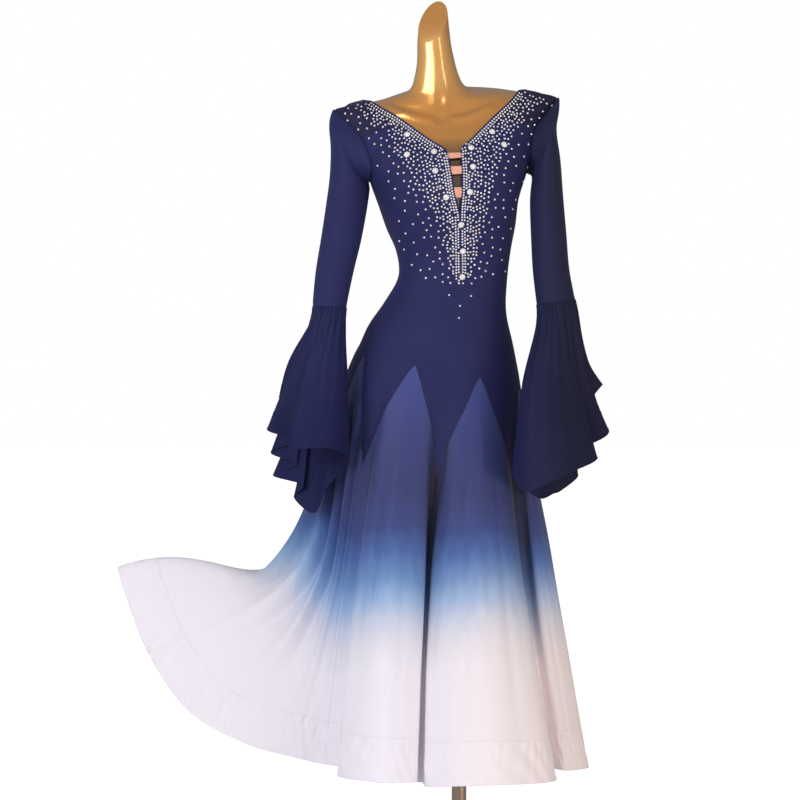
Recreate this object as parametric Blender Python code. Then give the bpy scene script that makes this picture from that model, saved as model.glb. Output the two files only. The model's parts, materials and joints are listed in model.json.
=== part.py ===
"""Ballroom dance dress on a dress form: fitted bodice cut in points over eight flared godets,
a wind-blown skirt with stitched hem bands, straight sleeves with bell flounces, and the
smooth limbless form, pole and round base that carry it. Metres, +Z up, front towards -Y."""

import math
from bisect import bisect_right
from collections import namedtuple

import bmesh
import bpy
from mathutils import Vector
from mathutils.bvhtree import BVHTree

# Driving dimensions
CLOTH = 0.0014
SEAM_GAP = 0.0003
HIP_LINE = 0.929
HIP_FLARE = 0.27
HIP_FLARE_SIDEWAYS = -0.15
GODETS = 8
GODET_ANGLE = 360.0 / GODETS
GODET_PEAK = 0.03
GODET_TIP = 0.285
GODET_FLARE = 4.0 / 3.0
GODET_LEVELS = [GODET_TIP, 0.36, 0.44, 0.53, 0.62, 0.71, 0.81, 0.90]
FORM_CLEARANCE = 0.0045
SHOULDER_TAPER = 0.075
SHOULDER_HEIGHTS = (1.36, 1.41)
SHOULDER_TOP = (1.415, 1.431)
FORM_BOTTOM = 0.775
FORM_SIDES = 24
NECK_TOP = 1.65
POLE_RADIUS = 0.014
BASE_RADIUS = 0.150
BASE_HEIGHT = 0.012
STONE_RADIUS = 0.0066
STONE_HEIGHT = 0.0045
STONE_GAP = 0.00045
HALF_COLUMNS = 12
LOW_ROWS = 4
YOKE_ROW = 12
MERIDIAN_STEPS = 40
RIM_PULL = 0.8
RIM_FADE = 0.25
LEVEL_SLACK = 0.02
PROBE_ANGLE = 0.25
PROBE_HEIGHT = 0.0005
PROBE_LEVEL = 0.004
MITRE_LIMIT = 0.25
ARMHOLE_LAP = CLOTH / 2 + SEAM_GAP
ARMHOLE_STEP = 0.0035
STONE_SIDES = 8
STONE_TABLE = 0.55
FORM_RING_STEP = 0.04
FORM_SHOULDER_STEPS = 4
BASE_BEVEL = 0.004
SHARP_ANGLE = math.radians(40)

# Rings of the figure, hips to neck. Heights are those of the ring's centre; turn is in
# degrees towards +X, tilt is the rise per metre towards +X, pitch the rise towards +Y.
Ring = namedtuple("Ring", "height x y half_width front back fullness turn tilt pitch")
RINGS = [
    Ring(0.770, -0.030, 0.004, 0.100, 0.072, 0.082, 0.15, 9.0, -0.10, 0.00),
    Ring(0.790, -0.032, 0.004, 0.124, 0.086, 0.100, 0.15, 9.0, -0.12, 0.00),
    Ring(0.860, -0.043, 0.004, 0.156, 0.100, 0.118, 0.15, 9.0, -0.19, 0.00),
    Ring(0.929, -0.037, 0.002, 0.1515, 0.103, 0.120, 0.15, 9.0, -0.19, 0.00),
    Ring(0.994, -0.032, 0.000, 0.130, 0.093, 0.105, 0.12, 9.0, -0.12, 0.00),
    Ring(1.051, -0.021, 0.000, 0.109, 0.082, 0.085, 0.10, 9.0, -0.05, 0.00),
    Ring(1.104, -0.009, 0.000, 0.1025, 0.080, 0.076, 0.10, 9.0, 0.00, 0.00),
    Ring(1.146, -0.011, 0.000, 0.112, 0.091, 0.082, 0.12, 9.0, 0.03, 0.00),
    Ring(1.190, -0.016, 0.000, 0.1245, 0.111, 0.092, 0.18, 8.0, 0.05, 0.00),
    Ring(1.241, -0.0205, 0.000, 0.136, 0.127, 0.102, 0.24, 7.0, 0.06, 0.00),
    Ring(1.275, -0.0200, 0.000, 0.149, 0.121, 0.106, 0.20, 6.0, 0.065, 0.00),
    Ring(1.311, -0.0210, 0.000, 0.164, 0.107, 0.106, 0.14, 5.0, 0.065, 0.02),
    Ring(1.355, -0.0225, 0.004, 0.184, 0.085, 0.098, 0.08, 4.0, 0.062, 0.12),
    Ring(1.415, -0.0240, 0.010, 0.211, 0.060, 0.076, 0.00, 3.0, 0.060, 0.36),
    Ring(1.431, -0.0260, 0.012, 0.141, 0.054, 0.066, 0.00, 3.0, 0.080, 0.38),
    Ring(1.446, -0.0370, 0.012, 0.066, 0.050, 0.056, 0.00, 3.0, 0.040, 0.30),
    Ring(1.460, -0.0410, 0.010, 0.0535, 0.046, 0.050, 0.00, 3.0, 0.020, 0.15),
    Ring(1.498, -0.0440, 0.006, 0.0430, 0.040, 0.042, 0.00, 3.0, 0.00, 0.00),
    Ring(1.536, -0.0475, 0.002, 0.0385, 0.036, 0.037, 0.00, 3.0, 0.00, 0.00),
    Ring(NECK_TOP, -0.0495, 0.000, 0.0285, 0.031, 0.031, 0.00, 3.0, 0.00, 0.00),
]
NECK_CUT_POINT = Vector((-0.0500, 0.0, 1.570))
NECK_CUT_NORMAL = Vector((-0.34, -0.78, 0.53))

# Rows of the bodice panels above the hip line, from hips to shoulder seam. Angles are in
# degrees from the panel's own centre line; heights are ring heights.
Row = namedtuple("Row", "side_angle side_height centre_angle centre_height")
FRONT_ROWS = [
    Row(90.0, 0.929, 0.0, 0.929),
    Row(90.0, 0.975, 0.0, 0.972),
    Row(90.0, 1.030, 0.0, 1.018),
    Row(90.0, 1.085, 0.0, 1.066),
    Row(90.0, 1.135, 0.0, 1.112),
    Row(90.0, 1.182, 0.0, 1.156),
    Row(90.0, 1.229, 0.0, 1.193),
    Row(90.0, 1.275, 3.0, 1.236),
    Row(79.0, 1.283, 3.9, 1.277),
    Row(71.5, 1.294, 5.0, 1.319),
    Row(66.5, 1.312, 11.5, 1.342),
    Row(63.5, 1.334, 17.2, 1.365),
    Row(62.0, 1.358, 22.2, 1.390),
    Row(64.5, 1.384, 27.7, 1.410),
    Row(71.0, 1.402, 43.0, 1.4245),
    Row(90.0, 1.415, 90.0, 1.431),
]
BACK_ROWS = [
    Row(90.0, 0.929, 0.0, 0.929),
    Row(90.0, 0.975, 0.0, 0.975),
    Row(90.0, 1.030, 0.0, 1.030),
    Row(90.0, 1.085, 0.0, 1.085),
    Row(90.0, 1.135, 0.0, 1.135),
    Row(90.0, 1.182, 0.0, 1.180),
    Row(90.0, 1.229, 0.0, 1.225),
    Row(90.0, 1.275, 0.0, 1.270),
    Row(80.0, 1.283, 0.0, 1.312),
    Row(73.0, 1.294, 0.0, 1.350),
    Row(68.5, 1.311, 11.0, 1.366),
    Row(66.5, 1.333, 21.0, 1.382),
    Row(66.5, 1.357, 31.0, 1.397),
    Row(69.5, 1.381, 42.0, 1.410),
    Row(76.0, 1.400, 56.0, 1.422),
    Row(90.0, 1.415, 90.0, 1.431),
]
SLIT_FOOT_ROW = 6
ARMPIT_ROW = 7
BACK_NECK_ROW = 9

# Satin straps laced across the front slit: ring heights of the lower and upper edges.
STRAPS = [(1.226, 1.244), (1.269, 1.284), (1.301, 1.312)]

# Folds of the skirt, anticlockwise from the wing's flying tip. Each row is a meridian of
# the cloth: its angle round the hips, a point part way down and the point at the hem. Flow
# is how far it runs on in its own direction past the mid point, and droop how steeply it
# falls at the hem.
Fold = namedtuple("Fold", "angle mid hem flow droop", defaults=(1.0, 0.0))
SKIRT_FOLDS = [
    Fold(-101.0, (-0.374, 0.030, 0.527), (-0.650, 0.020, 0.533), flow=0.35, droop=0.20),
    Fold(-97.0, (-0.345, 0.005, 0.530), (-0.634, -0.005, 0.487), flow=0.50, droop=0.10),
    Fold(-90.0, (-0.305, -0.020, 0.540), (-0.588, -0.030, 0.376), flow=0.80),
    Fold(-78.0, (-0.270, -0.050, 0.523), (-0.506, -0.060, 0.267)),
    Fold(-67.5, (-0.253, -0.065, 0.507), (-0.401, -0.085, 0.212)),
    Fold(-56.0, (-0.233, -0.080, 0.506), (-0.316, -0.100, 0.190)),
    Fold(-45.0, (-0.211, -0.095, 0.513), (-0.253, -0.110, 0.177)),
    Fold(-39.0, (-0.190, -0.104, 0.518), (-0.206, -0.125, 0.172)),
    Fold(-33.0, (-0.188, -0.150, 0.528), (-0.225, -0.200, 0.169)),
    Fold(-22.5, (-0.127, -0.185, 0.542), (-0.151, -0.270, 0.169)),
    Fold(-11.0, (-0.071, -0.166, 0.531), (-0.086, -0.244, 0.165)),
    Fold(-4.0, (-0.069, -0.137, 0.522), (-0.082, -0.212, 0.160)),
    Fold(0.0, (-0.0625, -0.132, 0.520), (-0.0755, -0.204, 0.159)),
    Fold(4.0, (-0.056, -0.137, 0.520), (-0.069, -0.212, 0.158)),
    Fold(8.0, (-0.052, -0.160, 0.521), (-0.064, -0.238, 0.156)),
    Fold(15.0, (-0.010, -0.185, 0.533), (-0.014, -0.275, 0.163)),
    Fold(25.0, (0.044, -0.190, 0.533), (0.066, -0.280, 0.166)),
    Fold(36.0, (0.101, -0.150, 0.530), (0.155, -0.220, 0.161)),
    Fold(41.0, (0.115, -0.120, 0.519), (0.174, -0.160, 0.159)),
    Fold(45.0, (0.114, -0.088, 0.500), (0.154, -0.090, 0.162)),
    Fold(53.0, (0.128, -0.060, 0.498), (0.171, -0.046, 0.160)),
    Fold(63.0, (0.147, -0.063, 0.515), (0.197, -0.062, 0.158)),
    Fold(75.0, (0.169, -0.035, 0.516), (0.228, -0.030, 0.155)),
    Fold(83.0, (0.182, 0.006, 0.513), (0.247, 0.022, 0.152)),
    Fold(90.0, (0.168, 0.046, 0.510), (0.215, 0.090, 0.152)),
    Fold(112.5, (0.165, 0.105, 0.515), (0.225, 0.200, 0.155)),
    Fold(135.0, (0.100, 0.135, 0.520), (0.115, 0.190, 0.160)),
    Fold(157.5, (0.045, 0.185, 0.525), (0.070, 0.290, 0.160)),
    Fold(180.0, (-0.030, 0.160, 0.525), (-0.030, 0.220, 0.162)),
    Fold(202.5, (-0.110, 0.190, 0.530), (-0.120, 0.295, 0.165)),
    Fold(225.0, (-0.175, 0.150, 0.530), (-0.225, 0.215, 0.175)),
    Fold(238.0, (-0.235, 0.125, 0.530), (-0.400, 0.185, 0.225)),
    Fold(247.5, (-0.272, 0.095, 0.550), (-0.545, 0.135, 0.335)),
    Fold(255.0, (-0.335, 0.055, 0.540), (-0.634, 0.060, 0.490), flow=0.50, droop=0.10),
]

# Rings of each sleeve from shoulder cap to cuff: lean is the angle in degrees that the
# ring's outer end is raised.
Cuff = namedtuple("Cuff", "x y z half_width half_depth lean")
SLEEVE_RINGS = {
    "right_arm": [
        Cuff(-0.208, -0.004, 1.317, 0.0724, 0.053, 58.4),
        Cuff(-0.207, -0.012, 1.283, 0.0558, 0.054, 49.8),
        Cuff(-0.209, -0.022, 1.248, 0.0430, 0.050, 33.3),
        Cuff(-0.214, -0.035, 1.209, 0.0386, 0.046, 15.6),
        Cuff(-0.223, -0.055, 1.151, 0.0375, 0.042, 1.4),
        Cuff(-0.234, -0.074, 1.093, 0.0350, 0.039, 2.0),
        Cuff(-0.242, -0.093, 1.037, 0.0318, 0.036, 2.0),
        Cuff(-0.243, -0.097, 1.024, 0.0308, 0.035, 2.0),
    ],
    "left_arm": [
        Cuff(0.164, -0.004, 1.343, 0.0714, 0.053, 68.6),
        Cuff(0.161, -0.012, 1.314, 0.0545, 0.054, 64.8),
        Cuff(0.163, -0.022, 1.276, 0.0400, 0.050, 46.0),
        Cuff(0.164, -0.035, 1.230, 0.0320, 0.046, 16.0),
        Cuff(0.167, -0.055, 1.160, 0.0329, 0.042, 1.6),
        Cuff(0.170, -0.074, 1.096, 0.0337, 0.039, 3.2),
        Cuff(0.176, -0.093, 1.045, 0.0351, 0.037, 6.0),
        Cuff(0.178, -0.097, 1.033, 0.0357, 0.036, 7.5),
    ],
}
ARM_SIDE = {"right_arm": -1, "left_arm": 1}

# Folds of the bell flounces round the cuff: 0 degrees is the outer side, 90 the front.
BELL_FOLDS = {
    "right_arm": [
        Fold(-157.0, (-0.215, -0.100, 0.866), (-0.209, -0.118, 0.735)),
        Fold(-135.0, (-0.228, -0.078, 0.852), (-0.227, -0.098, 0.714)),
        Fold(-115.0, (-0.243, -0.062, 0.842), (-0.250, -0.100, 0.686)),
        Fold(-96.0, (-0.258, -0.057, 0.833), (-0.273, -0.078, 0.641)),
        Fold(-80.0, (-0.277, -0.050, 0.833), (-0.311, -0.050, 0.669)),
        Fold(-66.0, (-0.277, -0.055, 0.842), (-0.294, -0.070, 0.693)),
        Fold(-52.0, (-0.300, -0.043, 0.848), (-0.352, -0.022, 0.710)),
        Fold(-39.0, (-0.292, -0.055, 0.859), (-0.305, -0.058, 0.731)),
        Fold(-25.0, (-0.315, -0.045, 0.867), (-0.356, -0.028, 0.753)),
        Fold(-12.0, (-0.300, -0.062, 0.874), (-0.304, -0.066, 0.777)),
        Fold(2.0, (-0.318, -0.062, 0.893), (-0.345, -0.058, 0.805)),
        Fold(14.0, (-0.308, -0.082, 0.911), (-0.307, -0.090, 0.844)),
        Fold(27.0, (-0.320, -0.100, 0.922), (-0.336, -0.116, 0.857)),
        Fold(38.0, (-0.308, -0.112, 0.915), (-0.312, -0.124, 0.829)),
        Fold(50.0, (-0.315, -0.126, 0.903), (-0.356, -0.152, 0.798)),
        Fold(62.0, (-0.295, -0.138, 0.892), (-0.301, -0.158, 0.780)),
        Fold(76.0, (-0.291, -0.154, 0.888), (-0.314, -0.200, 0.764)),
        Fold(102.0, (-0.262, -0.166, 0.879), (-0.273, -0.215, 0.765)),
        Fold(140.0, (-0.229, -0.160, 0.879), (-0.232, -0.200, 0.763)),
        Fold(178.0, (-0.209, -0.130, 0.879), (-0.207, -0.152, 0.747)),
    ],
    "left_arm": [
        Fold(-152.0, (0.133, -0.110, 0.859), (0.110, -0.146, 0.697)),
        Fold(-126.0, (0.156, -0.086, 0.844), (0.147, -0.118, 0.670)),
        Fold(-104.0, (0.178, -0.072, 0.837), (0.174, -0.092, 0.678)),
        Fold(-86.0, (0.189, -0.066, 0.838), (0.188, -0.082, 0.683)),
        Fold(-68.0, (0.211, -0.050, 0.848), (0.223, -0.040, 0.709)),
        Fold(-52.0, (0.210, -0.060, 0.859), (0.206, -0.074, 0.728)),
        Fold(-36.0, (0.232, -0.050, 0.867), (0.256, -0.034, 0.738)),
        Fold(-22.0, (0.228, -0.062, 0.881), (0.231, -0.066, 0.765)),
        Fold(-8.0, (0.242, -0.064, 0.896), (0.272, -0.050, 0.806)),
        Fold(5.0, (0.231, -0.082, 0.915), (0.237, -0.080, 0.848)),
        Fold(18.0, (0.237, -0.100, 0.926), (0.264, -0.100, 0.881)),
        Fold(30.0, (0.227, -0.112, 0.915), (0.238, -0.116, 0.840)),
        Fold(43.0, (0.232, -0.126, 0.900), (0.272, -0.144, 0.794)),
        Fold(57.0, (0.215, -0.136, 0.888), (0.230, -0.156, 0.765)),
        Fold(71.0, (0.213, -0.156, 0.881), (0.246, -0.202, 0.746)),
        Fold(92.0, (0.187, -0.175, 0.873), (0.203, -0.235, 0.725)),
        Fold(122.0, (0.154, -0.185, 0.870), (0.158, -0.240, 0.704)),
        Fold(150.0, (0.125, -0.180, 0.870), (0.114, -0.222, 0.687)),
        Fold(178.0, (0.112, -0.150, 0.879), (0.092, -0.182, 0.717)),
    ],
}
BELL_LEVELS = [0.0, 0.14, 0.30, 0.46, 0.62, 0.76, 0.87, 1.0]
BELL_BAND_ROW = 6

# Large stones on the front: distance across and height, as seen from straight ahead.
STONES = [
    (-0.099, 1.347), (-0.099, 1.307), (-0.049, 1.312), (-0.047, 1.275), (-0.027, 1.226),
    (0.060, 1.353), (0.082, 1.328), (0.020, 1.320), (0.023, 1.283), (0.017, 1.236),
    (0.001, 1.177), (0.005, 1.129), (0.004, 1.081),
]

COLOURS = {
    "navy": (0.030, 0.026, 0.105, 1.0),
    "mesh": (0.018, 0.016, 0.050, 1.0),
    "shaded": (0.330, 0.420, 0.720, 1.0),
    "white": (0.860, 0.840, 0.880, 1.0),
    "satin": (0.700, 0.360, 0.250, 1.0),
    "stone": (0.900, 0.880, 0.900, 1.0),
    "gold": (0.640, 0.350, 0.090, 1.0),
    "steel": (0.330, 0.310, 0.300, 1.0),
}
Finish = namedtuple("Finish", "colour roughness metallic")
FINISHES = {
    "jersey": Finish("navy", 0.75, 0.0),
    "power_mesh": Finish("mesh", 0.80, 0.0),
    "chiffon": Finish("navy", 0.80, 0.0),
    "shaded_chiffon": Finish("shaded", 0.80, 0.0),
    "hem_chiffon": Finish("white", 0.80, 0.0),
    "satin": Finish("satin", 0.35, 0.0),
    "stone": Finish("stone", 0.10, 0.0),
    "gold_skin": Finish("gold", 0.22, 0.9),
    "steel": Finish("steel", 0.35, 1.0),
}


def hermite(p0, p1, t0, t1, s):
    """Cubic between two values, with their slopes, at s from 0 to 1."""
    a = 2 * s**3 - 3 * s**2 + 1
    b = s**3 - 2 * s**2 + s
    c = -2 * s**3 + 3 * s**2
    d = s**3 - s**2
    return p0 * a + t0 * b + p1 * c + t1 * d


def steady_slopes(xs, ys):
    """Slopes that keep a cubic through the points from overshooting them."""
    steps = [(ys[i + 1] - ys[i]) / (xs[i + 1] - xs[i]) for i in range(len(xs) - 1)]
    slopes = [steps[0]]
    for before, after in zip(steps, steps[1:]):
        if before * after <= 0:
            slopes.append(0.0)
        else:
            slopes.append(2 * before * after / (before + after))
    slopes.append(steps[-1])
    return slopes


HEIGHTS = [ring.height for ring in RINGS]
RING_SLOPES = [steady_slopes(HEIGHTS, values) for values in zip(*RINGS)]


def ring_at(height):
    """The figure's ring at any height, between the rows of the table."""
    k = min(max(bisect_right(HEIGHTS, height) - 1, 0), len(RINGS) - 2)
    span = HEIGHTS[k + 1] - HEIGHTS[k]
    s = (height - HEIGHTS[k]) / span
    values = []
    for column, slopes in enumerate(RING_SLOPES):
        low = RINGS[k][column]
        high = RINGS[k + 1][column]
        values.append(hermite(low, high, slopes[k] * span, slopes[k + 1] * span, s))
    return Ring(*values)


def body_point(angle, height):
    """A point of the fitted cloth: angle round from the front, +90 towards +X."""
    ring = ring_at(height)
    s = math.sin(math.radians(angle))
    c = math.cos(math.radians(angle))
    depth = ring.front if c >= 0 else ring.back
    across = ring.half_width * s
    along = -depth * c * (1 + ring.fullness * s * s)
    turn = math.radians(ring.turn)
    x = ring.x + across * math.cos(turn) - along * math.sin(turn)
    y = ring.y + across * math.sin(turn) + along * math.cos(turn)
    z = ring.height + ring.tilt * across + ring.pitch * along
    return Vector((x, y, z))


def surface_normal(point_at, u, v, du, dv):
    """Unit normal of a surface from small steps along both of its directions."""
    along_u = point_at(u + du, v) - point_at(u - du, v)
    along_v = point_at(u, v + dv) - point_at(u, v - dv)
    return along_u.cross(along_v).normalized()


def body_normal(angle, height):
    return surface_normal(body_point, angle, height, PROBE_ANGLE, PROBE_HEIGHT)


def meridian(start, start_slope, fold):
    """Evenly spaced points on a smooth line from the rim through a fold's two points."""
    mid = Vector(fold.mid)
    end = Vector(fold.hem)
    first = (mid - start).length
    second = (end - mid).length
    through = (end - start).normalized()
    pull = start_slope * first * RIM_PULL
    onward = through * second * fold.flow
    last = ((end - mid) * 3 - onward) / 2 - Vector((0.0, 0.0, fold.droop))
    fine = []
    for i in range(MERIDIAN_STEPS + 1):
        s = 2 * i / MERIDIAN_STEPS
        if s < 1:
            fine.append(hermite(start, mid, pull, through * first, s))
        else:
            fine.append(hermite(mid, end, onward, last, s - 1))
    lengths = [0.0]
    for a, b in zip(fine, fine[1:]):
        lengths.append(lengths[-1] + (b - a).length)
    even = []
    k = 0
    for i in range(MERIDIAN_STEPS + 1):
        want = lengths[-1] * i / MERIDIAN_STEPS
        while k < MERIDIAN_STEPS - 1 and lengths[k + 1] < want:
            k += 1
        even.append(fine[k].lerp(fine[k + 1], (want - lengths[k]) / (lengths[k + 1] - lengths[k])))
    return even


class Drape:
    """Cloth that hangs from a closed rim and passes through a table of folds."""

    def __init__(self, folds, rim, rim_slope):
        self.rim = rim
        self.angles = [fold.angle for fold in folds]
        self.lines = []
        for fold in folds:
            start = rim(fold.angle)
            slope = rim_slope(fold.angle)
            self.lines.append(meridian(start, slope, fold))

    def on_line(self, k, v):
        line = self.lines[k % len(self.lines)]
        place = min(max(v, -LEVEL_SLACK), 1.0 + LEVEL_SLACK) * MERIDIAN_STEPS
        i = min(max(int(place), 0), MERIDIAN_STEPS - 1)
        return line[i].lerp(line[i + 1], place - i)

    def angle_of(self, k):
        turns, index = divmod(k, len(self.angles))
        return self.angles[index] + 360.0 * turns

    def between(self, angle, v):
        """Smooth curve round the folds at one level."""
        angle = (angle - self.angles[0]) % 360.0 + self.angles[0]
        k = bisect_right(self.angles, angle) - 1
        stops = [self.angle_of(k + i) for i in (-1, 0, 1, 2)]
        points = [self.on_line(k + i, v) for i in (-1, 0, 1, 2)]
        span = stops[2] - stops[1]
        slope_in = (points[2] - points[0]) * (span / (stops[2] - stops[0]))
        slope_out = (points[3] - points[1]) * (span / (stops[3] - stops[1]))
        return hermite(points[1], points[2], slope_in, slope_out, (angle - stops[1]) / span)

    def point(self, angle, v):
        """The cloth at a level v, 0 on the rim and 1 at the hem."""
        place = self.between(angle, v)
        fade = max(0.0, 1.0 - max(v, 0.0) / RIM_FADE)
        return place + (self.rim(angle) - self.between(angle, 0.0)) * (fade * fade)

    def normal(self, angle, v):
        """Outward normal; levels run down, so the probe's own one points in."""
        return -surface_normal(self.point, angle, v, PROBE_ANGLE, PROBE_LEVEL)

    def stops(self, start, end):
        """Angles from start to end at every fold and half way between folds."""
        folds = [angle + turn for angle in self.angles for turn in (0.0, 360.0)]
        inside = sorted(angle for angle in folds if start + 0.1 < angle < end - 0.1)
        edges = [start] + inside + [end]
        stops = [start]
        for low, high in zip(edges, edges[1:]):
            stops += [(low + high) / 2, high]
        return stops


def hip_rim(angle):
    return body_point(angle, HIP_LINE)


def hip_slope(angle):
    """Direction in which the skirt leaves the hips, flared most on the wing's side."""
    a = math.radians(angle)
    down = (body_point(angle, HIP_LINE - PROBE_HEIGHT) - body_point(angle, HIP_LINE)).normalized()
    outward = Vector((math.sin(a), -math.cos(a), 0.0))
    return (down + outward * (HIP_FLARE + HIP_FLARE_SIDEWAYS * math.sin(a))).normalized()


SKIRT = Drape(SKIRT_FOLDS, hip_rim, hip_slope)


def sleeve_ring_point(arm, ring, angle):
    """A point on a sleeve ring: 0 is the outer side and 90 the front."""
    lean = math.radians(ring.lean)
    outward = Vector((ARM_SIDE[arm] * math.cos(lean), 0, math.sin(lean)))
    a = math.radians(angle)
    across = outward * (ring.half_width * math.cos(a))
    return Vector((ring.x, ring.y, ring.z)) + across - Vector((0, ring.half_depth * math.sin(a), 0))


def bell_drape(arm):
    cuff = SLEEVE_RINGS[arm][-1]
    above = SLEEVE_RINGS[arm][-2]

    def rim(angle):
        return sleeve_ring_point(arm, cuff, angle)

    def slope(angle):
        return (rim(angle) - sleeve_ring_point(arm, above, angle)).normalized()

    return Drape(BELL_FOLDS[arm], rim, slope)


def material(name):
    """Principled material with the finish of one kind of cloth or metal."""
    finish = FINISHES[name]
    made = bpy.data.materials.get(name)
    if made is None:
        made = bpy.data.materials.new(name)
        made.use_nodes = True
        shader = made.node_tree.nodes["Principled BSDF"]
        shader.inputs["Base Color"].default_value = COLOURS[finish.colour]
        shader.inputs["Roughness"].default_value = finish.roughness
        shader.inputs["Metallic"].default_value = finish.metallic
    return made


def add_object(collection, name, mesh, finish):
    made = bpy.data.objects.new(name, mesh)
    mesh.materials.append(material(finish))
    collection.objects.link(made)
    return made


def seam_shifts(points, normals, faces):
    """How far each border point moves into its own panel to leave half a seam gap."""
    border = {}
    for face in faces:
        middle = sum((points[i] for i in face), Vector()) / len(face)
        for a, b in zip(face, face[1:] + face[:1]):
            key = (min(a, b), max(a, b))
            border[key] = None if key in border else middle
    inward = {}
    for (a, b), middle in border.items():
        if middle is None:
            continue
        edge = (points[b] - points[a]).normalized()
        for i in (a, b):
            way = middle - (points[a] + points[b]) / 2
            way -= edge * way.dot(edge)
            way -= normals[i] * way.dot(normals[i])
            inward.setdefault(i, []).append(way.normalized())
    shifts = {}
    for i, ways in inward.items():
        if len(ways) == 2:
            lean = max(1 + ways[0].dot(ways[1]), MITRE_LIMIT)
            shifts[i] = (ways[0] + ways[1]) / lean * (SEAM_GAP / 2)
        else:
            shifts[i] = sum(ways, Vector()).normalized() * (SEAM_GAP / 2)
    return shifts


def halved(points, faces):
    """The faces as triangles, each quad split along its shorter diagonal."""
    triangles = []
    for face in faces:
        if len(face) == 3:
            triangles.append(face)
            continue
        a, b, c, d = face
        if (points[a] - points[c]).length <= (points[b] - points[d]).length:
            triangles += [(a, b, c), (a, c, d)]
        else:
            triangles += [(a, b, d), (b, c, d)]
    return triangles


def cloth_wall(collection, name, points, normals, faces, finish):
    """A closed wall of cloth: the sheet's points moved out and in along its normals."""
    shifts = seam_shifts(points, normals, faces)
    bm = bmesh.new()
    outer = []
    inner = []
    for i, (point, normal) in enumerate(zip(points, normals)):
        place = point + shifts.get(i, Vector())
        outer.append(bm.verts.new(place + normal * (CLOTH / 2)))
        inner.append(bm.verts.new(place - normal * (CLOTH / 2)))
    rims = {}
    for face in halved(points, faces):
        bm.faces.new([outer[i] for i in face])
        bm.faces.new([inner[i] for i in reversed(face)])
        for pair in zip(face, face[1:] + face[:1]):
            key = frozenset(pair)
            rims[key] = None if key in rims else pair
    for pair in rims.values():
        if pair:
            first, second = sorted(pair, key=lambda i: points[i][:])
            bm.faces.new([outer[first], outer[second], inner[second]])
            bm.faces.new([outer[first], inner[second], inner[first]])
    bmesh.ops.recalc_face_normals(bm, faces=bm.faces)
    mesh = bpy.data.meshes.new(name)
    bm.to_mesh(mesh)
    bm.free()
    mesh.shade_smooth()
    return add_object(collection, name, mesh, finish)


def grid_faces(columns, rows, closed=False):
    """Quads of a grid of points stored row by row."""
    width = columns if closed else columns + 1
    faces = []
    for j in range(rows):
        for i in range(columns):
            a = j * width + i
            b = j * width + (i + 1) % width
            faces.append((a, b, b + width, a + width))
    return faces


def godet_edge_level(angle):
    """Level of the bodice's pointed lower edge at an angle round the hips."""
    from_peak = abs((angle % GODET_ANGLE) - GODET_ANGLE / 2)
    share = from_peak / (GODET_ANGLE / 2)
    return GODET_PEAK + (GODET_TIP - GODET_PEAK) * share**GODET_FLARE


def panel_place(rows, facing, side, i, j):
    """Angle, level and surface of a bodice panel's point: column i from the centre out."""
    share = i / HALF_COLUMNS
    if j < LOW_ROWS:
        angle = facing + side * 90.0 * share
        level = godet_edge_level(angle) * (1 - j / LOW_ROWS)
        return SKIRT.point(angle, level), SKIRT.normal(angle, max(level, PROBE_LEVEL))
    row = rows[j - LOW_ROWS]
    reach = row.centre_angle + (row.side_angle - row.centre_angle) * share
    height = row.centre_height + (row.side_height - row.centre_height) * share
    angle = facing + side * reach
    return body_point(angle, height), body_normal(angle, height)


def bodice_sheet(rows, facing, split_row, top_row):
    """Points and faces of a front or back panel; its halves part above split_row."""
    index = {}
    points = []
    normals = []

    def vertex(side, i, j):
        shared = i == 0 and j <= split_row + LOW_ROWS
        key = (0 if shared else side, i, j)
        if key not in index:
            index[key] = len(points)
            point, normal = panel_place(rows, facing, side, i, j)
            points.append(point)
            normals.append(normal)
        return index[key]

    faces = []
    for side in (-1, 1):
        for j in range(top_row + LOW_ROWS):
            for i in range(HALF_COLUMNS):
                face = [vertex(side, i, j), vertex(side, i + 1, j)]
                face += [vertex(side, i + 1, j + 1), vertex(side, i, j + 1)]
                faces.append(tuple(face if side == 1 else reversed(face)))
    return points, normals, faces


def yoke_sheet(side):
    """Points and faces of one sheer yoke, from its seam up to the shoulder seam."""
    points = []
    normals = []
    last = len(FRONT_ROWS) - 1
    for j in range(YOKE_ROW, last + 1):
        for i in range(HALF_COLUMNS + 1):
            point, normal = panel_place(FRONT_ROWS, 0.0, side, i, j + LOW_ROWS)
            points.append(point)
            normals.append(normal)
    faces = grid_faces(HALF_COLUMNS, last - YOKE_ROW)
    if side == -1:
        faces = [tuple(reversed(face)) for face in faces]
    return points, normals, faces


def add_bodice(collection):
    last = len(FRONT_ROWS) - 1
    front = bodice_sheet(FRONT_ROWS, 0.0, SLIT_FOOT_ROW, YOKE_ROW)
    panel = cloth_wall(collection, "bodice_front", *front, "jersey")
    back = bodice_sheet(BACK_ROWS, 180.0, BACK_NECK_ROW, last)
    cloth_wall(collection, "bodice_back", *back, "jersey")
    cloth_wall(collection, "yoke_right", *yoke_sheet(-1), "power_mesh")
    cloth_wall(collection, "yoke_left", *yoke_sheet(1), "power_mesh")
    return panel


def slit_half_angle(height):
    """Half of the slit's opening at a ring height, between the rows of the front."""
    for low, high in zip(FRONT_ROWS[SLIT_FOOT_ROW:], FRONT_ROWS[SLIT_FOOT_ROW + 1:]):
        if low.centre_height <= height <= high.centre_height:
            s = (height - low.centre_height) / (high.centre_height - low.centre_height)
            return low.centre_angle + (high.centre_angle - low.centre_angle) * s
    return 0.0


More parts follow.
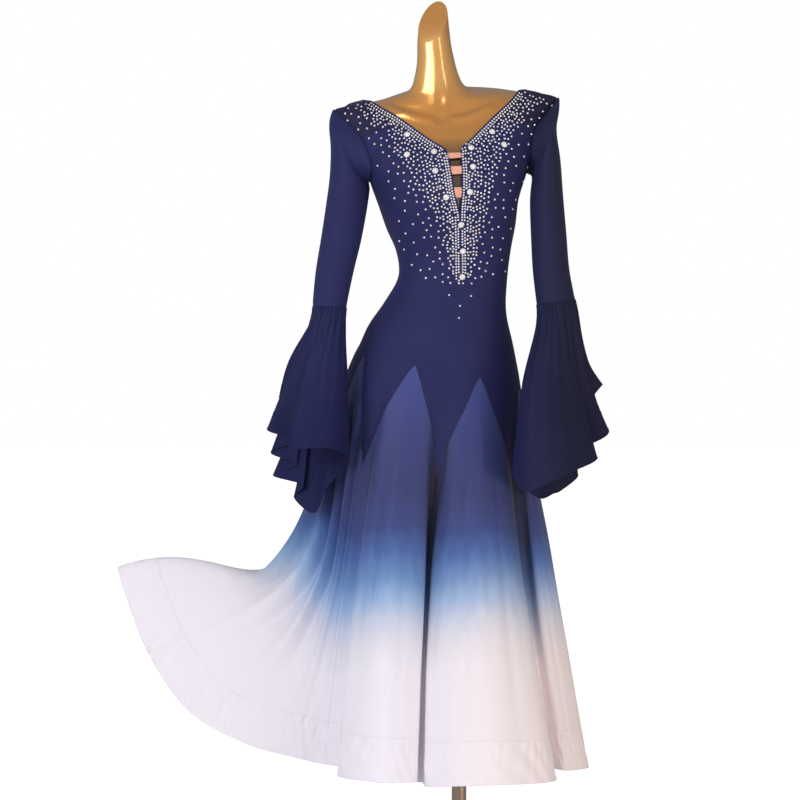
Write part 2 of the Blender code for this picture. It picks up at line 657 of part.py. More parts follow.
def add_straps(collection):
    for number, edges in enumerate(STRAPS, start=1):
        points = []
        normals = []
        for height in edges:
            for share in (-1.0, 0.0, 1.0):
                angle = share * slit_half_angle(height)
                points.append(body_point(angle, height))
                normals.append(body_normal(angle, height))
        faces = grid_faces(2, 1)
        cloth_wall(collection, f"slit_strap_{number}", points, normals, faces, "satin")


def drape_rows(drape, rows_of_angles, levels):
    """Points and normals of a drape, row by row."""
    points = []
    normals = []
    for angles, level in zip(rows_of_angles, levels):
        for angle in angles:
            points.append(drape.point(angle, level))
            normals.append(drape.normal(angle, level))
    return points, normals


def add_gores(collection):
    """Eight godets with their hem bands, from the front round by the left hip."""
    for number in range(GODETS):
        middle = GODET_ANGLE * (number + 0.5)
        stops = SKIRT.stops(middle - GODET_ANGLE / 2, middle + GODET_ANGLE / 2)
        columns = len(stops) - 1
        shares = [1 / 3, 2 / 3] + [1.0] * len(GODET_LEVELS)
        levels = [godet_edge_level(middle + GODET_ANGLE * share / 2) for share in shares[:2]]
        levels += GODET_LEVELS
        rows = [[middle + (stop - middle) * share for stop in stops] for share in shares]
        points, normals = drape_rows(SKIRT, [[middle]] + rows, [GODET_PEAK] + levels)
        faces = [(0, i + 1, i + 2) for i in range(columns)]
        for face in grid_faces(columns, len(levels) - 1):
            faces.append(tuple(i + 1 for i in face))
        cloth_wall(collection, f"godet_{number + 1}", points, normals, faces, "shaded_chiffon")
        points, normals = drape_rows(SKIRT, [stops, stops], [GODET_LEVELS[-1], 1.0])
        faces = grid_faces(columns, 1)
        cloth_wall(collection, f"hem_band_{number + 1}", points, normals, faces, "hem_chiffon")


def armhole(side):
    """Points and normals round an armhole: shoulder, front, armpit, back."""
    last = len(FRONT_ROWS) - 1
    places = []
    for row in reversed(FRONT_ROWS[ARMPIT_ROW:last + 1]):
        places.append((side * row.side_angle, row.side_height))
    for row in BACK_ROWS[ARMPIT_ROW + 1:last]:
        places.append((180.0 - side * row.side_angle, row.side_height))
    points = [body_point(*place) for place in places]
    normals = [body_normal(*place) for place in places]
    return points, normals


def mean_normals(points, faces):
    """Normals of a sheet's points, as the mean of the faces round each."""
    totals = [Vector() for _ in points]
    for face in faces:
        across = points[face[2]] - points[face[0]]
        along = points[face[3]] - points[face[1]]
        for i in face:
            totals[i] += across.cross(along).normalized()
    return [total.normalized() for total in totals]


def add_sleeve(collection, arm):
    side = ARM_SIDE[arm]
    seam, outward = armhole(side)
    count = len(seam)
    rings = [[p + n * ARMHOLE_LAP for p, n in zip(seam, outward)]]
    rings.append([p + n * ARMHOLE_STEP for p, n in zip(rings[0], outward)])
    for ring in SLEEVE_RINGS[arm]:
        rings.append([sleeve_ring_point(arm, ring, 360.0 * k / count) for k in range(count)])
    points = [point for ring in rings for point in ring]
    faces = grid_faces(count, len(rings) - 1, closed=True)
    normals = mean_normals(points, faces)
    cloth_wall(collection, f"sleeve_{arm}", points, normals, faces, "jersey")


def add_bell(collection, arm):
    """The bell flounce and the stitched band along its hem, cut from one sheet."""
    drape = bell_drape(arm)
    stops = drape.stops(drape.angles[0], drape.angles[0] + 360.0)[:-1]
    count = len(stops)
    points, _ = drape_rows(drape, [stops] * len(BELL_LEVELS), BELL_LEVELS)
    faces = grid_faces(count, len(BELL_LEVELS) - 1, closed=True)
    normals = mean_normals(points, faces)
    seam = BELL_BAND_ROW * count
    faces = grid_faces(count, BELL_BAND_ROW, closed=True)
    end = seam + count
    cloth_wall(collection, f"bell_{arm}", points[:end], normals[:end], faces, "chiffon")
    faces = grid_faces(count, 1, closed=True)
    cloth_wall(collection, f"bell_hem_{arm}", points[seam:], normals[seam:], faces, "chiffon")


def add_stones(collection, panel):
    """Round cut stones standing on the front panel's own faces."""
    tree = BVHTree.FromPolygons(
        [vertex.co for vertex in panel.data.vertices],
        [polygon.vertices for polygon in panel.data.polygons],
    )
    for number, (x, z) in enumerate(STONES, start=1):
        hit, normal, _, _ = tree.ray_cast(Vector((x, -1.0, z)), Vector((0.0, 1.0, 0.0)))
        bm = bmesh.new()
        bmesh.ops.create_cone(
            bm,
            cap_ends=True,
            segments=STONE_SIDES,
            radius1=STONE_RADIUS,
            radius2=STONE_RADIUS * STONE_TABLE,
            depth=STONE_HEIGHT,
        )
        mesh = bpy.data.meshes.new(f"stone_{number}")
        bm.to_mesh(mesh)
        bm.free()
        stone = add_object(collection, f"stone_{number}", mesh, "stone")
        turn = normal.to_track_quat("Z", "Y")
        stone.rotation_mode = "QUATERNION"
        stone.rotation_quaternion = turn
        stone.location = hit + normal * (STONE_GAP + STONE_HEIGHT / 2)


def form_point(angle, height):
    """The form's skin: back from the cloth, and a little narrower at the shoulders."""
    ring = ring_at(height)
    point = body_point(angle, height)
    normal = body_normal(angle, height)
    if normal.dot(point - Vector((ring.x, ring.y, height))) < 0:
        normal = -normal
    low, high = SHOULDER_HEIGHTS
    share = min(max((height - low) / (high - low), 0.0), 1.0)
    point -= normal * FORM_CLEARANCE
    point.x -= (point.x - ring.x) * SHOULDER_TAPER * share
    point.y -= (point.y - ring.y) * SHOULDER_TAPER * share
    return point


def add_form(collection):
    """The smooth limbless form, closed below the hips and cut slanting at the neck."""
    heights = [FORM_BOTTOM]
    for low, high in zip(HEIGHTS[1:], HEIGHTS[2:]):
        heights.append(low)
        pieces = math.ceil((high - low) / FORM_RING_STEP)
        if low in SHOULDER_TOP:
            pieces = FORM_SHOULDER_STEPS
        heights += [low + (high - low) * i / pieces for i in range(1, pieces)]
    heights.append(NECK_TOP)
    bm = bmesh.new()
    rings = []
    for height in heights:
        ring = []
        for i in range(FORM_SIDES):
            ring.append(bm.verts.new(form_point(360.0 * i / FORM_SIDES, height)))
        rings.append(ring)
    floor = min(vertex.co.z for vertex in rings[0])
    for vertex in rings[0]:
        vertex.co.z = floor
    for low, high in zip(rings, rings[1:]):
        for i in range(FORM_SIDES):
            k = (i + 1) % FORM_SIDES
            bm.faces.new((low[i], low[k], high[k], high[i]))
    bm.faces.new(list(reversed(rings[0])))
    bm.faces.new(rings[-1])
    parts = list(bm.verts) + list(bm.edges) + list(bm.faces)
    cut = bmesh.ops.bisect_plane(
        bm,
        geom=parts,
        plane_co=NECK_CUT_POINT,
        plane_no=NECK_CUT_NORMAL,
        clear_outer=True,
    )
    edges = [item for item in cut["geom_cut"] if isinstance(item, bmesh.types.BMEdge)]
    bmesh.ops.contextual_create(bm, geom=edges)
    bmesh.ops.recalc_face_normals(bm, faces=bm.faces)
    mesh = bpy.data.meshes.new("dress_form")
    bm.to_mesh(mesh)
    bm.free()
    mesh.shade_smooth()
    add_object(collection, "dress_form", mesh, "gold_skin")
    return floor


def add_stand(collection, form_floor):
    """Round base plate and the pole that carries the form."""
    bm = bmesh.new()
    bmesh.ops.create_cone(
        bm, cap_ends=True, segments=32, radius1=BASE_RADIUS, radius2=BASE_RADIUS, depth=BASE_HEIGHT
    )
    rim = [edge for edge in bm.edges if all(vertex.co.z > 0 for vertex in edge.verts)]
    bmesh.ops.bevel(bm, geom=rim, offset=BASE_BEVEL, segments=2, profile=0.5, affect="EDGES")
    mesh = bpy.data.meshes.new("stand_base")
    bm.to_mesh(mesh)
    bm.free()
    mesh.set_sharp_from_angle(angle=SHARP_ANGLE)
    base = add_object(collection, "stand_base", mesh, "steel")
    base.location = (0.0, 0.0, BASE_HEIGHT / 2)
    foot = BASE_HEIGHT + SEAM_GAP
    length = form_floor - SEAM_GAP - foot
    bm = bmesh.new()
    bmesh.ops.create_cone(
        bm, cap_ends=True, segments=16, radius1=POLE_RADIUS, radius2=POLE_RADIUS, depth=length
    )
    mesh = bpy.data.meshes.new("stand_pole")
    bm.to_mesh(mesh)
    bm.free()
    mesh.shade_smooth()
    mesh.set_sharp_from_angle(angle=SHARP_ANGLE)
    pole = add_object(collection, "stand_pole", mesh, "steel")
    pole.location = (0.0, 0.0, foot + length / 2)


def main():
    for old in list(bpy.data.objects):
        bpy.data.objects.remove(old, do_unlink=True)
    collection = bpy.data.collections.new("ballroom_dress_on_form")
    bpy.context.scene.collection.children.link(collection)
    panel = add_bodice(collection)
    add_straps(collection)
    add_gores(collection)
    for arm in SLEEVE_RINGS:
        add_sleeve(collection, arm)
        add_bell(collection, arm)
    add_stones(collection, panel)
    form_floor = add_form(collection)
    add_stand(collection, form_floor)


main()
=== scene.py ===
"""Ballroom dance dress on a gold dress form: a navy jersey bodice crusted with stones at the
neck, sheer yokes, straight sleeves with bell flounces, and a skirt of eight godets shaded
from violet blue to white that flies out on one side. Metres, +Z up, front towards -Y."""

import json
import math
import random
from bisect import bisect_right
from collections import namedtuple

import bmesh
import bpy
from mathutils import Matrix, Vector, noise
from mathutils.bvhtree import BVHTree

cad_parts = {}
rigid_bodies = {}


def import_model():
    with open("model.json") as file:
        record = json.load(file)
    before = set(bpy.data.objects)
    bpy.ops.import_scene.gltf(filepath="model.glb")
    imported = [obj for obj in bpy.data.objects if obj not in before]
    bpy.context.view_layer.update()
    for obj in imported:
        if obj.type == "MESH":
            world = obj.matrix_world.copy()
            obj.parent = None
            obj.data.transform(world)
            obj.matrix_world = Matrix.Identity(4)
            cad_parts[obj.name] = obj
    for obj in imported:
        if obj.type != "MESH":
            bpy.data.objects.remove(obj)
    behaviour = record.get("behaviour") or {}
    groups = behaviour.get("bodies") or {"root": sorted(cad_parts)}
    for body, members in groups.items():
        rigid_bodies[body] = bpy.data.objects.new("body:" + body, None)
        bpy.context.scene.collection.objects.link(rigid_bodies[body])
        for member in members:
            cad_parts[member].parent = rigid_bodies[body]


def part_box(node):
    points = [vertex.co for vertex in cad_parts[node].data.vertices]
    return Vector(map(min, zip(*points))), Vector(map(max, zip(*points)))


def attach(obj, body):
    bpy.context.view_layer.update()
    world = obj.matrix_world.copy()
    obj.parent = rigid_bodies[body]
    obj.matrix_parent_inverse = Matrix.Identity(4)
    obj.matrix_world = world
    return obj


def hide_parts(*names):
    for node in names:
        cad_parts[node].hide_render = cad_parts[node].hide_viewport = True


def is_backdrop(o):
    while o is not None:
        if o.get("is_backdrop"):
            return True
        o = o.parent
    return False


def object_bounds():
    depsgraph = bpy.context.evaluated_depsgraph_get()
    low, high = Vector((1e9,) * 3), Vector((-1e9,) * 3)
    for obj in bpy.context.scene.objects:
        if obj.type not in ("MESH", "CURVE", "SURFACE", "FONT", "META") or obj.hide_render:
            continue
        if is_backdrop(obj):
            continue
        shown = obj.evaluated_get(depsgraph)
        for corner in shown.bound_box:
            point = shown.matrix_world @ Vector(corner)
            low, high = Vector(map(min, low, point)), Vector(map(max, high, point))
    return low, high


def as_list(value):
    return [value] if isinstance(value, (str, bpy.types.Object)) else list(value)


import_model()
cad_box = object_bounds()

# Named sizes, in metres and degrees. The skirt's levels run from 0 at the hips to 1 at the
# hem, and the bodice's points reach down to level GODET_TIP.
HIP_LINE = 0.929
HIP_FLARE = 0.27
HIP_FLARE_SIDEWAYS = -0.15
GODETS = 8
GODET_ANGLE = 360.0 / GODETS
GODET_PEAK = 0.03
GODET_TIP = 0.285
GODET_FLARE = 4.0 / 3.0
BAND_LEVEL = 0.90
FORM_CLEARANCE = 0.0045
SHOULDER_TAPER = 0.075
SHOULDER_HEIGHTS = (1.36, 1.41)
FORM_BOTTOM = 0.775
NECK_TOP = 1.65
POLE_RADIUS = 0.014
BASE_RADIUS = 0.150
BASE_HEIGHT = 0.012
STONE_RADIUS = 0.0066
SMALL_STONE = 0.0021
YOKE_ROW = 12
MERIDIAN_STEPS = 40
RIM_PULL = 0.8
RIM_FADE = 0.25
LEVEL_SLACK = 0.02
PROBE_ANGLE = 0.25
PROBE_HEIGHT = 0.0005
PROBE_LEVEL = 0.004
JERSEY = 0.0009
CHIFFON = 0.0006
LAP = 0.001
MERGE = 0.00002

# Rings of the figure, hips to neck. Heights are those of the ring's centre; turn is in
# degrees towards +X, tilt is the rise per metre towards +X, pitch the rise towards +Y.
Ring = namedtuple("Ring", "height x y half_width front back fullness turn tilt pitch")
RINGS = [
    Ring(0.770, -0.030, 0.004, 0.100, 0.072, 0.082, 0.15, 9.0, -0.10, 0.00),
    Ring(0.790, -0.032, 0.004, 0.124, 0.086, 0.100, 0.15, 9.0, -0.12, 0.00),
    Ring(0.860, -0.043, 0.004, 0.156, 0.100, 0.118, 0.15, 9.0, -0.19, 0.00),
    Ring(0.929, -0.037, 0.002, 0.1515, 0.103, 0.120, 0.15, 9.0, -0.19, 0.00),
    Ring(0.994, -0.032, 0.000, 0.130, 0.093, 0.105, 0.12, 9.0, -0.12, 0.00),
    Ring(1.051, -0.021, 0.000, 0.109, 0.082, 0.085, 0.10, 9.0, -0.05, 0.00),
    Ring(1.104, -0.009, 0.000, 0.1025, 0.080, 0.076, 0.10, 9.0, 0.00, 0.00),
    Ring(1.146, -0.011, 0.000, 0.112, 0.091, 0.082, 0.12, 9.0, 0.03, 0.00),
    Ring(1.190, -0.016, 0.000, 0.1245, 0.111, 0.092, 0.18, 8.0, 0.05, 0.00),
    Ring(1.241, -0.0205, 0.000, 0.136, 0.127, 0.102, 0.24, 7.0, 0.06, 0.00),
    Ring(1.275, -0.0200, 0.000, 0.149, 0.121, 0.106, 0.20, 6.0, 0.065, 0.00),
    Ring(1.311, -0.0210, 0.000, 0.164, 0.107, 0.106, 0.14, 5.0, 0.065, 0.02),
    Ring(1.355, -0.0225, 0.004, 0.184, 0.085, 0.098, 0.08, 4.0, 0.062, 0.12),
    Ring(1.415, -0.0240, 0.010, 0.211, 0.060, 0.076, 0.00, 3.0, 0.060, 0.36),
    Ring(1.431, -0.0260, 0.012, 0.141, 0.054, 0.066, 0.00, 3.0, 0.080, 0.38),
    Ring(1.446, -0.0370, 0.012, 0.066, 0.050, 0.056, 0.00, 3.0, 0.040, 0.30),
    Ring(1.460, -0.0410, 0.010, 0.0535, 0.046, 0.050, 0.00, 3.0, 0.020, 0.15),
    Ring(1.498, -0.0440, 0.006, 0.0430, 0.040, 0.042, 0.00, 3.0, 0.00, 0.00),
    Ring(1.536, -0.0475, 0.002, 0.0385, 0.036, 0.037, 0.00, 3.0, 0.00, 0.00),
    Ring(NECK_TOP, -0.0495, 0.000, 0.0285, 0.031, 0.031, 0.00, 3.0, 0.00, 0.00),
]
NECK_CUT_POINT = Vector((-0.0500, 0.0, 1.570))
NECK_CUT_NORMAL = Vector((-0.34, -0.78, 0.53))

# Rows of the bodice panels above the hip line, from hips to shoulder seam. Angles are in
# degrees from the panel's own centre line; heights are ring heights.
Row = namedtuple("Row", "side_angle side_height centre_angle centre_height")
FRONT_ROWS = [
    Row(90.0, 0.929, 0.0, 0.929),
    Row(90.0, 0.975, 0.0, 0.972),
    Row(90.0, 1.030, 0.0, 1.018),
    Row(90.0, 1.085, 0.0, 1.066),
    Row(90.0, 1.135, 0.0, 1.112),
    Row(90.0, 1.182, 0.0, 1.156),
    Row(90.0, 1.229, 0.0, 1.193),
    Row(90.0, 1.275, 3.0, 1.236),
    Row(79.0, 1.283, 3.9, 1.277),
    Row(71.5, 1.294, 5.0, 1.319),
    Row(66.5, 1.312, 11.5, 1.342),
    Row(63.5, 1.334, 17.2, 1.365),
    Row(62.0, 1.358, 22.2, 1.390),
    Row(64.5, 1.384, 27.7, 1.410),
    Row(71.0, 1.402, 43.0, 1.4245),
    Row(90.0, 1.415, 90.0, 1.431),
]
BACK_ROWS = [
    Row(90.0, 0.929, 0.0, 0.929),
    Row(90.0, 0.975, 0.0, 0.975),
    Row(90.0, 1.030, 0.0, 1.030),
    Row(90.0, 1.085, 0.0, 1.085),
    Row(90.0, 1.135, 0.0, 1.135),
    Row(90.0, 1.182, 0.0, 1.180),
    Row(90.0, 1.229, 0.0, 1.225),
    Row(90.0, 1.275, 0.0, 1.270),
    Row(80.0, 1.283, 0.0, 1.312),
    Row(73.0, 1.294, 0.0, 1.350),
    Row(68.5, 1.311, 11.0, 1.366),
    Row(66.5, 1.333, 21.0, 1.382),
    Row(66.5, 1.357, 31.0, 1.397),
    Row(69.5, 1.381, 42.0, 1.410),
    Row(76.0, 1.400, 56.0, 1.422),
    Row(90.0, 1.415, 90.0, 1.431),
]
SLIT_FOOT_ROW = 6
ARMPIT_ROW = 7
BACK_NECK_ROW = 9

# Satin straps laced across the front slit: ring heights of the lower and upper edges.
STRAPS = [(1.226, 1.244), (1.269, 1.284), (1.301, 1.312)]

# Folds of the skirt, anticlockwise from the wing's flying tip. Each row is a meridian of
# the cloth: its angle round the hips, a point part way down and the point at the hem. Flow
# is how far it runs on in its own direction past the mid point, and droop how steeply it
# falls at the hem.
Fold = namedtuple("Fold", "angle mid hem flow droop", defaults=(1.0, 0.0))
SKIRT_FOLDS = [
    Fold(-101.0, (-0.374, 0.030, 0.527), (-0.650, 0.020, 0.533), flow=0.35, droop=0.20),
    Fold(-97.0, (-0.345, 0.005, 0.530), (-0.634, -0.005, 0.487), flow=0.50, droop=0.10),
    Fold(-90.0, (-0.305, -0.020, 0.540), (-0.588, -0.030, 0.376), flow=0.80),
    Fold(-78.0, (-0.270, -0.050, 0.523), (-0.506, -0.060, 0.267)),
    Fold(-67.5, (-0.253, -0.065, 0.507), (-0.401, -0.085, 0.212)),
    Fold(-56.0, (-0.233, -0.080, 0.506), (-0.316, -0.100, 0.190)),
    Fold(-45.0, (-0.211, -0.095, 0.513), (-0.253, -0.110, 0.177)),
    Fold(-39.0, (-0.190, -0.104, 0.518), (-0.206, -0.125, 0.172)),
    Fold(-33.0, (-0.188, -0.150, 0.528), (-0.225, -0.200, 0.169)),
    Fold(-22.5, (-0.127, -0.185, 0.542), (-0.151, -0.270, 0.169)),
    Fold(-11.0, (-0.071, -0.166, 0.531), (-0.086, -0.244, 0.165)),
    Fold(-4.0, (-0.069, -0.137, 0.522), (-0.082, -0.212, 0.160)),
    Fold(0.0, (-0.0625, -0.132, 0.520), (-0.0755, -0.204, 0.159)),
    Fold(4.0, (-0.056, -0.137, 0.520), (-0.069, -0.212, 0.158)),
    Fold(8.0, (-0.052, -0.160, 0.521), (-0.064, -0.238, 0.156)),
    Fold(15.0, (-0.010, -0.185, 0.533), (-0.014, -0.275, 0.163)),
    Fold(25.0, (0.044, -0.190, 0.533), (0.066, -0.280, 0.166)),
    Fold(36.0, (0.101, -0.150, 0.530), (0.155, -0.220, 0.161)),
    Fold(41.0, (0.115, -0.120, 0.519), (0.174, -0.160, 0.159)),
    Fold(45.0, (0.114, -0.088, 0.500), (0.154, -0.090, 0.162)),
    Fold(53.0, (0.128, -0.060, 0.498), (0.171, -0.046, 0.160)),
    Fold(63.0, (0.147, -0.063, 0.515), (0.197, -0.062, 0.158)),
    Fold(75.0, (0.169, -0.035, 0.516), (0.228, -0.030, 0.155)),
    Fold(83.0, (0.182, 0.006, 0.513), (0.247, 0.022, 0.152)),
    Fold(90.0, (0.168, 0.046, 0.510), (0.215, 0.090, 0.152)),
    Fold(112.5, (0.165, 0.105, 0.515), (0.225, 0.200, 0.155)),
    Fold(135.0, (0.100, 0.135, 0.520), (0.115, 0.190, 0.160)),
    Fold(157.5, (0.045, 0.185, 0.525), (0.070, 0.290, 0.160)),
    Fold(180.0, (-0.030, 0.160, 0.525), (-0.030, 0.220, 0.162)),
    Fold(202.5, (-0.110, 0.190, 0.530), (-0.120, 0.295, 0.165)),
    Fold(225.0, (-0.175, 0.150, 0.530), (-0.225, 0.215, 0.175)),
    Fold(238.0, (-0.235, 0.125, 0.530), (-0.400, 0.185, 0.225)),
    Fold(247.5, (-0.272, 0.095, 0.550), (-0.545, 0.135, 0.335)),
    Fold(255.0, (-0.335, 0.055, 0.540), (-0.634, 0.060, 0.490), flow=0.50, droop=0.10),
]

# Rings of each sleeve from shoulder cap to cuff: lean is the angle in degrees that the
# ring's outer end is raised.
Cuff = namedtuple("Cuff", "x y z half_width half_depth lean")
SLEEVE_RINGS = {
    "right_arm": [
        Cuff(-0.208, -0.004, 1.317, 0.0724, 0.053, 58.4),
        Cuff(-0.207, -0.012, 1.283, 0.0558, 0.054, 49.8),
        Cuff(-0.209, -0.022, 1.248, 0.0430, 0.050, 33.3),
        Cuff(-0.214, -0.035, 1.209, 0.0386, 0.046, 15.6),
        Cuff(-0.223, -0.055, 1.151, 0.0375, 0.042, 1.4),
        Cuff(-0.234, -0.074, 1.093, 0.0350, 0.039, 2.0),
        Cuff(-0.242, -0.093, 1.037, 0.0318, 0.036, 2.0),
        Cuff(-0.243, -0.097, 1.024, 0.0308, 0.035, 2.0),
    ],
    "left_arm": [
        Cuff(0.164, -0.004, 1.343, 0.0714, 0.053, 68.6),
        Cuff(0.161, -0.012, 1.314, 0.0545, 0.054, 64.8),
        Cuff(0.163, -0.022, 1.276, 0.0400, 0.050, 46.0),
        Cuff(0.164, -0.035, 1.230, 0.0320, 0.046, 16.0),
        Cuff(0.167, -0.055, 1.160, 0.0329, 0.042, 1.6),
        Cuff(0.170, -0.074, 1.096, 0.0337, 0.039, 3.2),
        Cuff(0.176, -0.093, 1.045, 0.0351, 0.037, 6.0),
        Cuff(0.178, -0.097, 1.033, 0.0357, 0.036, 7.5),
    ],
}
ARM_SIDE = {"right_arm": -1, "left_arm": 1}

# Folds of the bell flounces round the cuff: 0 degrees is the outer side, 90 the front.
BELL_FOLDS = {
    "right_arm": [
        Fold(-157.0, (-0.215, -0.100, 0.866), (-0.209, -0.118, 0.735)),
        Fold(-135.0, (-0.228, -0.078, 0.852), (-0.227, -0.098, 0.714)),
        Fold(-115.0, (-0.243, -0.062, 0.842), (-0.250, -0.100, 0.686)),
        Fold(-96.0, (-0.258, -0.057, 0.833), (-0.273, -0.078, 0.641)),
        Fold(-80.0, (-0.277, -0.050, 0.833), (-0.311, -0.050, 0.669)),
        Fold(-66.0, (-0.277, -0.055, 0.842), (-0.294, -0.070, 0.693)),
        Fold(-52.0, (-0.300, -0.043, 0.848), (-0.352, -0.022, 0.710)),
        Fold(-39.0, (-0.292, -0.055, 0.859), (-0.305, -0.058, 0.731)),
        Fold(-25.0, (-0.315, -0.045, 0.867), (-0.356, -0.028, 0.753)),
        Fold(-12.0, (-0.300, -0.062, 0.874), (-0.304, -0.066, 0.777)),
        Fold(2.0, (-0.318, -0.062, 0.893), (-0.345, -0.058, 0.805)),
        Fold(14.0, (-0.308, -0.082, 0.911), (-0.307, -0.090, 0.844)),
        Fold(27.0, (-0.320, -0.100, 0.922), (-0.336, -0.116, 0.857)),
        Fold(38.0, (-0.308, -0.112, 0.915), (-0.312, -0.124, 0.829)),
        Fold(50.0, (-0.315, -0.126, 0.903), (-0.356, -0.152, 0.798)),
        Fold(62.0, (-0.295, -0.138, 0.892), (-0.301, -0.158, 0.780)),
        Fold(76.0, (-0.291, -0.154, 0.888), (-0.314, -0.200, 0.764)),
        Fold(102.0, (-0.262, -0.166, 0.879), (-0.273, -0.215, 0.765)),
        Fold(140.0, (-0.229, -0.160, 0.879), (-0.232, -0.200, 0.763)),
        Fold(178.0, (-0.209, -0.130, 0.879), (-0.207, -0.152, 0.747)),
    ],
    "left_arm": [
        Fold(-152.0, (0.133, -0.110, 0.859), (0.110, -0.146, 0.697)),
        Fold(-126.0, (0.156, -0.086, 0.844), (0.147, -0.118, 0.670)),
        Fold(-104.0, (0.178, -0.072, 0.837), (0.174, -0.092, 0.678)),
        Fold(-86.0, (0.189, -0.066, 0.838), (0.188, -0.082, 0.683)),
        Fold(-68.0, (0.211, -0.050, 0.848), (0.223, -0.040, 0.709)),
        Fold(-52.0, (0.210, -0.060, 0.859), (0.206, -0.074, 0.728)),
        Fold(-36.0, (0.232, -0.050, 0.867), (0.256, -0.034, 0.738)),
        Fold(-22.0, (0.228, -0.062, 0.881), (0.231, -0.066, 0.765)),
        Fold(-8.0, (0.242, -0.064, 0.896), (0.272, -0.050, 0.806)),
        Fold(5.0, (0.231, -0.082, 0.915), (0.237, -0.080, 0.848)),
        Fold(18.0, (0.237, -0.100, 0.926), (0.264, -0.100, 0.881)),
        Fold(30.0, (0.227, -0.112, 0.915), (0.238, -0.116, 0.840)),
        Fold(43.0, (0.232, -0.126, 0.900), (0.272, -0.144, 0.794)),
        Fold(57.0, (0.215, -0.136, 0.888), (0.230, -0.156, 0.765)),
        Fold(71.0, (0.213, -0.156, 0.881), (0.246, -0.202, 0.746)),
        Fold(92.0, (0.187, -0.175, 0.873), (0.203, -0.235, 0.725)),
        Fold(122.0, (0.154, -0.185, 0.870), (0.158, -0.240, 0.704)),
        Fold(150.0, (0.125, -0.180, 0.870), (0.114, -0.222, 0.687)),
        Fold(178.0, (0.112, -0.150, 0.879), (0.092, -0.182, 0.717)),
    ],
}
BELL_BAND = 0.87

# Large stones on the front: distance across and height, as seen from straight ahead.
STONES = [
    (-0.099, 1.347), (-0.099, 1.307), (-0.049, 1.312), (-0.047, 1.275), (-0.027, 1.226),
    (0.060, 1.353), (0.082, 1.328), (0.020, 1.320), (0.023, 1.283), (0.017, 1.236),
    (0.001, 1.177), (0.005, 1.129), (0.004, 1.081),
]


def hermite(p0, p1, t0, t1, s):
    """Cubic between two values, with their slopes, at s from 0 to 1."""
    a = 2 * s**3 - 3 * s**2 + 1
    b = s**3 - 2 * s**2 + s
    c = -2 * s**3 + 3 * s**2
    d = s**3 - s**2
    return p0 * a + t0 * b + p1 * c + t1 * d


def steady_slopes(xs, ys):
    """Slopes that keep a cubic through the points from overshooting them."""
    steps = [(ys[i + 1] - ys[i]) / (xs[i + 1] - xs[i]) for i in range(len(xs) - 1)]
    slopes = [steps[0]]
    for before, after in zip(steps, steps[1:]):
        if before * after <= 0:
            slopes.append(0.0)
        else:
            slopes.append(2 * before * after / (before + after))
    slopes.append(steps[-1])
    return slopes


HEIGHTS = [ring.height for ring in RINGS]
RING_SLOPES = [steady_slopes(HEIGHTS, values) for values in zip(*RINGS)]


def ring_at(height):
    """The figure's ring at any height, between the rows of the table."""
    k = min(max(bisect_right(HEIGHTS, height) - 1, 0), len(RINGS) - 2)
    span = HEIGHTS[k + 1] - HEIGHTS[k]
    s = (height - HEIGHTS[k]) / span
    values = []
    for column, slopes in enumerate(RING_SLOPES):
        low = RINGS[k][column]
        high = RINGS[k + 1][column]
        values.append(hermite(low, high, slopes[k] * span, slopes[k + 1] * span, s))
    return Ring(*values)


def body_point(angle, height):
    """A point of the fitted cloth: angle round from the front, +90 towards +X."""
    ring = ring_at(height)
    s = math.sin(math.radians(angle))
    c = math.cos(math.radians(angle))
    depth = ring.front if c >= 0 else ring.back
    across = ring.half_width * s
    along = -depth * c * (1 + ring.fullness * s * s)
    turn = math.radians(ring.turn)
    x = ring.x + across * math.cos(turn) - along * math.sin(turn)
    y = ring.y + across * math.sin(turn) + along * math.cos(turn)
    z = ring.height + ring.tilt * across + ring.pitch * along
    return Vector((x, y, z))


def surface_normal(point_at, u, v, du, dv):
    """Unit normal of a surface from small steps along both of its directions."""
    along_u = point_at(u + du, v) - point_at(u - du, v)
    along_v = point_at(u, v + dv) - point_at(u, v - dv)
    return along_u.cross(along_v).normalized()


def body_normal(angle, height):
    return surface_normal(body_point, angle, height, PROBE_ANGLE, PROBE_HEIGHT)


def meridian(start, start_slope, fold):
    """Evenly spaced points on a smooth line from the rim through a fold's two points."""
    mid = Vector(fold.mid)
    end = Vector(fold.hem)
    first = (mid - start).length
    second = (end - mid).length
    through = (end - start).normalized()
    pull = start_slope * first * RIM_PULL
    onward = through * second * fold.flow
    last = ((end - mid) * 3 - onward) / 2 - Vector((0.0, 0.0, fold.droop))
    fine = []
    for i in range(MERIDIAN_STEPS + 1):
        s = 2 * i / MERIDIAN_STEPS
        if s < 1:
            fine.append(hermite(start, mid, pull, through * first, s))
        else:
            fine.append(hermite(mid, end, onward, last, s - 1))
    lengths = [0.0]
    for a, b in zip(fine, fine[1:]):
        lengths.append(lengths[-1] + (b - a).length)
    even = []
    k = 0
    for i in range(MERIDIAN_STEPS + 1):
        want = lengths[-1] * i / MERIDIAN_STEPS
        while k < MERIDIAN_STEPS - 1 and lengths[k + 1] < want:
            k += 1
        even.append(fine[k].lerp(fine[k + 1], (want - lengths[k]) / (lengths[k + 1] - lengths[k])))
    return even


